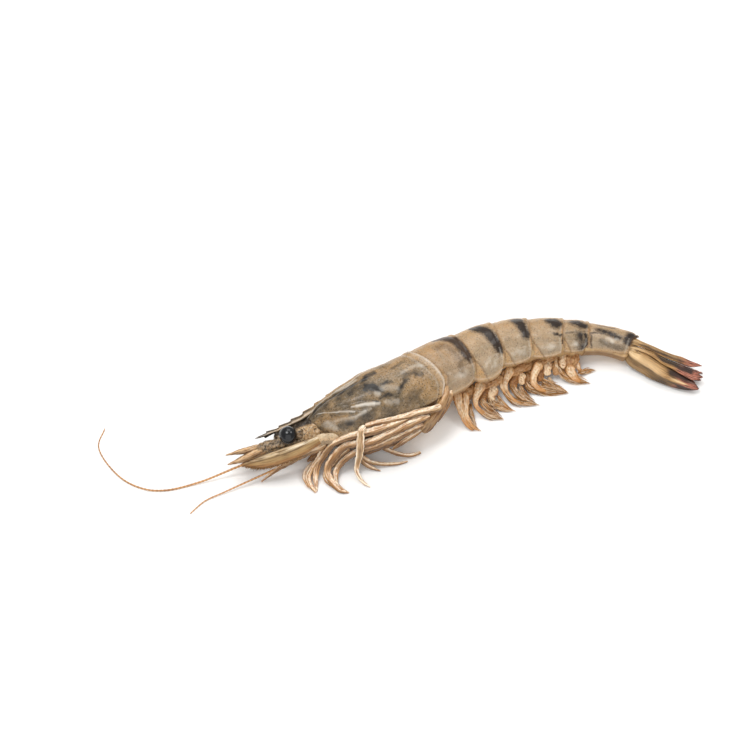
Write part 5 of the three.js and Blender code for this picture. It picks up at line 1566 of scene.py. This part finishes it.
# Each swimming leg: its tubes as a kind and points from the belly out, x, y, z and the half width there; then
# its blades in the same way, their half widths before BLADE_NARROW. Kinds: a stem, milky flesh, brown flesh,
# or the hollow behind a stem, painted dark as its shade.
SWIMMERS = {
    "swimmer_1_left": (
        [
            ("flesh", [
                (-7.4, -1.7, 7.5, 1.46), (-3.1, -1.2, 7.5, 1.67), (1.4, -0.2, 7.5, 1.67),
                (4.8, 1.6, 7.0, 1.25),
            ]),
            ("flesh", [
                (-5.7, 2.8, 8.0, 2.29), (-5.3, 0.2, 6.5, 2.08), (-5.1, -2.4, 5.0, 1.04),
            ]),
            ("flesh", [
                (2.6, 3.6, 7.0, 1.67), (1.6, 0.2, 5.5, 1.67), (0.8, -2.6, 4.5, 0.83),
            ]),
            ("stem", [
                (-4.2, -1.1, 9.5, 1.88), (-4.3, -4.0, 7.8, 1.88), (-4.0, -6.7, 5.6, 1.56),
                (-3.5, -9.2, 4.0, 1.25), (-2.8, -12.0, 2.6, 0.88), (-1.6, -14.0, 1.5, 0.62),
                (-0.3, -15.5, 0.8, 0.21),
            ]),
            ("stem", [
                (-0.8, -1.4, 9.0, 1.56), (-1.1, -4.3, 7.4, 1.46), (-1.7, -6.9, 5.4, 1.25),
                (-1.8, -9.9, 3.8, 1.04), (-1.1, -12.1, 2.4, 0.79), (0.4, -14.5, 1.3, 0.54),
                (2.5, -16.0, 0.7, 0.17),
            ]),
        ],
        [
            [
                (-3.4, -9.2, 3.4, 0.7), (-2.2, -12.4, 1.9, 0.7),
                (-0.9, -14.2, 1.2, 0.5), (0.5, -15.4, 0.7, 0.1),
            ],
            [
                (-1.6, -9.0, 3.6, 0.7), (-0.6, -12.0, 2.0, 0.7),
                (1.0, -14.6, 1.1, 0.5), (2.9, -16.0, 0.7, 0.1),
            ],
        ],
    ),
    "swimmer_2_left": (
        [
            ("flesh", [
                (4.4, 1.7, 7.0, 1.25), (8.7, 2.0, 7.0, 1.67), (13.7, 3.2, 7.0, 1.67),
                (17.0, 4.7, 7.0, 1.25),
            ]),
            ("hollow", [
                (9.9, 3.3, 5.5, 2.29), (8.1, 0.5, 4.8, 2.08), (6.5, -2.2, 4.0, 1.77),
                (7.1, -4.8, 3.0, 1.04),
            ]),
            ("stem", [
                (6.8, 2.6, 9.5, 2.71), (5.5, 0.1, 8.3, 2.29), (4.2, -1.9, 7.0, 1.77),
                (3.1, -3.9, 5.7, 1.25), (3.1, -5.9, 4.2, 0.96), (4.7, -8.0, 2.8, 0.83),
                (7.3, -10.1, 1.8, 0.42),
            ]),
        ],
        [
            [
                (2.3, -4.5, 4.6, 0.54), (4.4, -7.5, 2.8, 0.83),
                (7.8, -10.0, 1.5, 0.92), (13.1, -12.0, 0.6, 0.17),
            ],
            [
                (5.1, -3.4, 4.5, 1.04), (6.9, -5.7, 3.0, 1.46),
                (9.4, -8.3, 1.6, 1.25), (13.0, -11.8, 0.7, 0.25),
            ],
        ],
    ),
    "swimmer_3_left": (
        [
            ("flesh", [
                (16.0, 6.0, 7.1, 1.5), (20.6, 6.5, 7.1, 2.1), (25.2, 7.8, 7.1, 2.1),
                (30.4, 9.2, 7.1, 1.5),
            ]),
            ("hollow", [
                (25.2, 8.5, 5.5, 2.92), (22.6, 5.2, 4.8, 2.29), (20.6, 2.5, 4.0, 1.88),
                (20.9, -0.5, 3.0, 1.04),
            ]),
            ("stem", [
                (15.3, 3.1, 6.0, 0.62), (15.4, 0.7, 5.0, 0.83), (16.7, -1.6, 3.5, 0.62),
            ]),
            ("stem", [
                (21.0, 7.6, 9.2, 2.71), (18.9, 5.1, 7.8, 1.77), (17.4, 2.9, 6.4, 1.25),
                (16.9, 0.9, 5.0, 0.96), (17.4, -1.3, 3.6, 0.83), (19.6, -4.5, 2.4, 0.73),
                (22.6, -6.5, 1.5, 0.42),
            ]),
        ],
        [
            [
                (15.9, 0.8, 4.6, 1.04), (17.5, -2.3, 2.8, 1.25),
                (21.1, -5.5, 1.4, 1.15), (29.3, -7.5, 0.6, 0.25),
            ],
            [
                (19.9, 1.6, 4.0, 1.25), (21.5, -1.3, 2.6, 1.46),
                (24.4, -4.4, 1.4, 1.25), (29.0, -7.3, 0.7, 0.25),
            ],
        ],
    ),
    "swimmer_4_left": (
        [
            ("flesh", [
                (29.0, 9.2, 6.5, 1.4), (34.0, 10.1, 6.5, 2.0), (38.7, 11.6, 6.5, 2.0),
                (42.9, 12.8, 6.5, 1.4),
            ]),
            ("hollow", [
                (33.8, 7.9, 5.0, 2.08), (32.3, 4.9, 4.4, 2.08), (32.8, 2.1, 3.4, 1.88),
            ]),
            ("stem", [
                (33.7, 8.4, 8.3, 2.50), (31.0, 5.9, 7.0, 1.77), (29.7, 3.5, 5.8, 1.56),
                (29.4, 1.2, 4.4, 1.46), (30.7, -0.6, 3.0, 1.04), (33.9, -2.3, 2.0, 0.52),
            ]),
        ],
        [
            [
                (28.4, 3.0, 5.0, 1.25), (29.7, 0.6, 3.0, 1.67),
                (33.6, -1.6, 1.6, 1.25), (42.9, -3.8, 0.6, 0.21),
            ],
            [
                (32.7, 2.5, 4.0, 1.25), (35.4, 0.6, 2.6, 1.67),
                (38.5, -1.2, 1.4, 1.25), (42.7, -3.8, 0.7, 0.25),
            ],
            [
                (26.2, 2.7, 4.5, 0.83), (26.9, 0.8, 3.0, 1.46),
                (29.1, -0.7, 1.6, 1.04), (32.8, -1.7, 0.7, 0.17),
            ],
            [(31.8, 0.2, 3.0, 0.62), (33.3, -1.2, 1.6, 0.62), (35.4, -2.6, 0.7, 0.15)],
        ],
    ),
    "swimmer_5_left": (
        [
            ("flesh", [
                (42.1, 12.4, 5.5, 1.25), (45.6, 12.0, 5.5, 1.46), (49.6, 12.6, 5.5, 1.46),
                (53.8, 13.6, 5.0, 1.04),
            ]),
            ("flesh", [
                (48.7, 16.2, 6.0, 3.54), (47.3, 11.8, 5.0, 3.75), (45.7, 8.6, 4.0, 3.54),
                (44.8, 5.2, 3.0, 2.50),
            ]),
            ("stem", [
                (41.1, 11.7, 6.0, 0.73), (40.5, 7.7, 5.0, 0.83), (41.6, 5.4, 3.6, 0.83),
                (44.2, 3.2, 2.4, 0.62),
            ]),
            ("stem", [
                (45.7, 7.0, 5.5, 2.08), (46.1, 4.3, 4.0, 2.08), (47.3, 1.8, 2.8, 1.46),
                (49.5, 0.4, 1.6, 0.62),
            ]),
            ("milk", [
                (44.6, 15.4, 8.0, 1.67), (44.0, 12.0, 7.0, 1.77), (43.2, 8.6, 6.0, 1.67),
                (42.9, 6.0, 5.0, 1.25),
            ]),
        ],
        [
            [
                (40.7, 7.7, 5.0, 0.83), (41.9, 4.9, 3.4, 1.25),
                (45.3, 2.3, 1.8, 1.25), (52.8, -0.4, 0.6, 0.21),
            ],
            [
                (45.3, 6.9, 5.0, 1.88), (46.1, 4.2, 3.4, 2.08),
                (48.3, 1.8, 1.8, 1.46), (52.7, -0.2, 0.7, 0.25),
            ],
        ],
    ),
    "swimmer_1_right": (
        [],
        [
            [
                (0.6, -3.9, 3.4, 0.62), (0.6, -7.2, 2.2, 0.62),
                (0.9, -10.1, 1.2, 0.52), (1.4, -13.9, 0.6, 0.17),
            ],
        ],
    ),
    "swimmer_2_right": (
        [
            ("milk", [
                (12.4, 2.0, 6.0, 1.98), (11.3, -0.2, 5.0, 2.08), (10.3, -1.9, 4.0, 1.88),
                (10.6, -4.3, 3.0, 1.25),
            ]),
        ],
        [
            [
                (9.2, -2.7, 4.0, 1.04), (10.5, -5.0, 2.8, 1.46),
                (13.6, -6.8, 1.5, 1.04), (18.6, -8.7, 0.6, 0.17),
            ],
            [
                (12.7, -2.0, 3.6, 0.83), (14.0, -4.5, 2.4, 1.04),
                (15.8, -6.4, 1.3, 0.73), (18.0, -8.4, 0.7, 0.17),
            ],
        ],
    ),
    "swimmer_3_right": (
        [
            ("flesh", [
                (29.1, 8.0, 4.5, 1.67), (27.8, 4.0, 3.8, 1.67), (26.2, 1.2, 3.0, 1.25),
            ]),
            ("milk", [
                (25.5, 6.0, 6.0, 1.67), (24.6, 3.5, 5.0, 1.77), (23.8, 1.4, 4.0, 1.25),
            ]),
        ],
        [
            [
                (23.4, 1.6, 3.4, 0.7), (24.1, -1.5, 2.4, 0.9),
                (26.2, -4.3, 1.4, 0.8), (29.0, -7.2, 0.7, 0.2),
            ],
        ],
    ),
    "swimmer_4_right": (
        [
            ("flesh", [
                (40.3, 9.9, 5.0, 1.88), (40.1, 6.7, 4.0, 1.88), (39.2, 4.4, 3.0, 1.04),
            ]),
            ("milk", [
                (37.4, 10.5, 5.6, 1.88), (36.2, 7.0, 4.8, 2.08), (35.2, 4.3, 3.8, 1.67),
            ]),
        ],
        [
            [
                (36.0, 3.8, 3.2, 0.7), (37.0, 1.2, 2.2, 0.9),
                (39.4, -1.3, 1.3, 0.8), (42.6, -3.5, 0.8, 0.2),
            ],
        ],
    ),
    "swimmer_5_right": (
        [
            ("stem", [
                (49.9, 9.3, 3.5, 1.1), (50.1, 6.4, 2.6, 0.9), (51.3, 4.8, 2.0, 0.5),
            ]),
        ],
        [
            [(49.2, 4.2, 2.6, 0.7), (51.6, 5.0, 1.8, 0.8), (54.4, 5.7, 1.1, 0.75), (57.1, 5.5, 0.6, 0.2)],
        ],
    ),
}


def stem_tone(share, lines, spots, edge, **_):
    """Stems are milky down their middle, orange at their edges and near the blade, with brown painted shade
    in their furrows.
    """
    pale = 0.8 * bell(share - 0.35, 0.35) * (0.3 + 0.8 * spots) * (1 - edge**3)
    warm = 0.35 + 0.5 * edge**3 + 0.5 * smooth((share - 0.5) / 0.3)
    return marks_on(share.shape, dark=0.5 * lines + 0.5 * smooth((edge - 0.85) / 0.12), pale=pale, warm=warm)


def milk_tone(share, lines, spots, edge, **_):
    """Milky flesh, with small dark pits and faint painted shade in its furrows."""
    pits = smooth((0.2 - spots) / 0.12)
    dark = 0.7 * pits + 0.25 * lines + 0.6 * smooth((edge - 0.8) / 0.15)
    pale, warm = 0.7 * (1 - edge**3) * (0.5 + 0.6 * spots), 0.2 + 0.6 * edge**3
    return marks_on(share.shape, dark=dark, pale=pale, warm=warm)


def flesh_tone(share, lines, spots, **_):
    """Golden brown flesh, with painted shade in its furrows."""
    return marks_on(share.shape, dark=0.15 + 0.4 * lines + 0.35 * (1 - spots), warm=0.6, pale=0.25 * spots)


def hollow_shade_tone(share, spots, **_):
    """The hollow behind a stem is painted dark brown as shade, with paler streaks."""
    return marks_on(share.shape, dark=0.95 - 0.4 * spots - 0.3 * smooth((share - 0.6) / 0.4), warm=0.8)


def plume(points, halves, count, seed):
    """A swimming leg's blade: a flat core with strands laid along it. A strand keeps its place across the
    blade, from -1 to 1, runs over about half its length, and stands off where the blade is thick. The outer
    ones flare out towards their ends."""
    line, run = spline(points, 0.2)
    tangent, across, out = flat_frame(line)
    half = np.interp(run / run[-1], np.linspace(0, 1, len(halves)), halves)
    draw = np.random.default_rng(seed)
    place = np.clip(draw.uniform(-1.1, 1.1, count) + 0.15 * draw.normal(size=count), -1.3, 1.3)
    start = draw.uniform(-0.05, 0.6, count)
    finish = np.minimum(start + draw.uniform(0.35, 0.6, count), draw.uniform(0.85, 1.12, count))
    k = np.linspace(0, 1, 9)
    t = start[:, None] + (finish - start)[:, None] * k

    def carry(values):
        x = np.clip(t, 0, 1) * run[-1]
        return np.stack([np.interp(x, run, values[:, i]) for i in range(3)], -1)

    width = np.interp(np.clip(t, 0, 1) * run[-1], run, half) + 0.1
    beyond = np.maximum(t - 1, 0)[..., None] * run[-1]
    flare = place[:, None] * (1 + 0.55 * k**2 * np.abs(place)[:, None])
    wave = 0.12 * np.sin(2 * np.pi * (k * 0.9 + draw.random((count, 1))))
    lines = carry(line) + carry(across) * ((flare + wave) * width)[..., None]
    stand_off = 0.5 * width * np.sqrt(np.maximum(1 - place**2, 0))[:, None] + 0.08
    lines = lines + carry(out) * stand_off[..., None]
    lines = lines + beyond * carry(tangent)
    radius = draw.uniform(0.09, 0.26, count)[:, None] * np.minimum(1, 5 * k) * (1 - k) ** 0.6
    kind = draw.random(count)
    brown, milky = (kind < 0.38) * draw.uniform(0.5, 1, count), (kind > 0.6) * draw.uniform(0.3, 0.85, count)
    tints = [brown, milky, draw.uniform(0.4, 1, count), 0 * place]
    turn = round_turn(16)
    c, s = half[:, None] * np.cos(turn), half[:, None] * np.sin(turn)
    tip = np.minimum(1, (run[-1] - run) / 1.2)[:, None]
    core = line[:, None] + across[:, None] * (0.62 * c * tip)[..., None]
    core = over_table(core + out[:, None] * (0.35 * s * tip)[..., None], 0.05)
    straight = joined(run[:, None], c, s)
    marks = marks_on(straight.shape[:2], dark=0.75, warm=0.9)
    spindles = strands(lines, carry(across), carry(out), radius, np.stack(tints, -1))
    return [tube(core, marks, straight), spindles]


KINDS = {"stem": stem_tone, "milk": milk_tone, "flesh": flesh_tone, "hollow": hollow_shade_tone}
for number, (name, (tubes, blades)) in enumerate(SWIMMERS.items()):
    parts = []
    for i, (kind, rows) in enumerate(tubes):
        rough = 0.25 if kind in ("milk", "flesh") else 0.1
        parts.append(
            strap(*knots_of(rows), 5 * number + i, KINDS[kind], 0.5, 0.8, step=0.2, sides=44, rough=rough)
        )
    for i, rows in enumerate(blades):
        parts += plume(*knots_of(rows, BLADE_NARROW), STRANDS_A_BLADE, 50 + 3 * number + i)
    piece(name + "_paddle", parts, [SWIM], [name])

# ---------------------------------------------------------------- table, light and camera


def pale_table():
    """A large white matt board."""
    half = 1.6
    corners = [(-half, -half, 0), (half, -half, 0), (half, half, 0), (-half, half, 0)]
    mesh = bpy.data.meshes.new("table")
    mesh.from_pydata(corners, [], [(0, 1, 2, 3)])
    made = bpy.data.objects.new("table", mesh)
    bpy.context.scene.collection.objects.link(made)
    board = bpy.data.materials.new("white_board")
    board.use_nodes = True
    board.node_tree.nodes["Principled BSDF"].inputs["Base Color"].default_value = linear("#fbfaf8")
    board.node_tree.nodes["Principled BSDF"].inputs["Roughness"].default_value = 0.8
    mesh.materials.append(board)


def lamp(name, place, size, watts):
    """A square soft box at a place, turned to the table's middle."""
    data = bpy.data.lights.new(name, "AREA")
    data.size, data.energy = size, watts
    made = bpy.data.objects.new(name, data)
    made.location = place
    made.rotation_euler = (-Vector(place)).to_track_quat("-Z", "Y").to_euler()
    bpy.context.scene.collection.objects.link(made)


def studio():
    """Soft light from above and behind, a low fill from the front, and a white room."""
    world = bpy.data.worlds.new("white_room")
    world.use_nodes = True
    world.node_tree.nodes["Background"].inputs["Color"].default_value = (1, 1, 1, 1)
    world.node_tree.nodes["Background"].inputs["Strength"].default_value = 0.52
    bpy.context.scene.world = world
    lamp("back_box", (0.10, 0.45, 0.60), 0.45, 1.5)
    lamp("top_box", (-0.20, 0.05, 0.75), 0.30, 2.4)
    lamp("front_fill", (-0.1, -0.8, 0.42), 1.2, 4.4)
    lamp("small_lamp", (0.42, 0.07, 0.62), 0.22, 0.9)
    bpy.context.scene.view_settings.view_transform = "Standard"


CAMERA_PLACE = np.array([-123.609, -480.284, 725.414]) - ORIGIN
CAMERA_AZIMUTH, CAMERA_ELEVATION, CAMERA_LENS = -10.0, 55.0, 100.0


def camera():
    """The camera looks down at CAMERA_ELEVATION from CAMERA_AZIMUTH round the table's middle."""
    a, e = np.radians(CAMERA_AZIMUTH), np.radians(CAMERA_ELEVATION)
    ahead = np.array([-np.sin(a) * np.cos(e), np.cos(a) * np.cos(e), -np.sin(e)])
    right = np.array([np.cos(a), np.sin(a), 0])
    up = np.cross(right, ahead)
    data = bpy.data.cameras.new("camera")
    data.lens, data.sensor_width = CAMERA_LENS, 36.0
    data.clip_start, data.clip_end = 0.05, 10
    made = bpy.data.objects.new("camera", data)
    turn = Matrix([(right[i], up[i], -ahead[i]) for i in range(3)]).to_4x4()
    made.matrix_world = Matrix.Translation(Vector(CAMERA_PLACE * MM)) @ turn
    bpy.context.scene.collection.objects.link(made)
    bpy.context.scene.camera = made


pale_table()
studio()
camera()

bpy.context.view_layer.update()
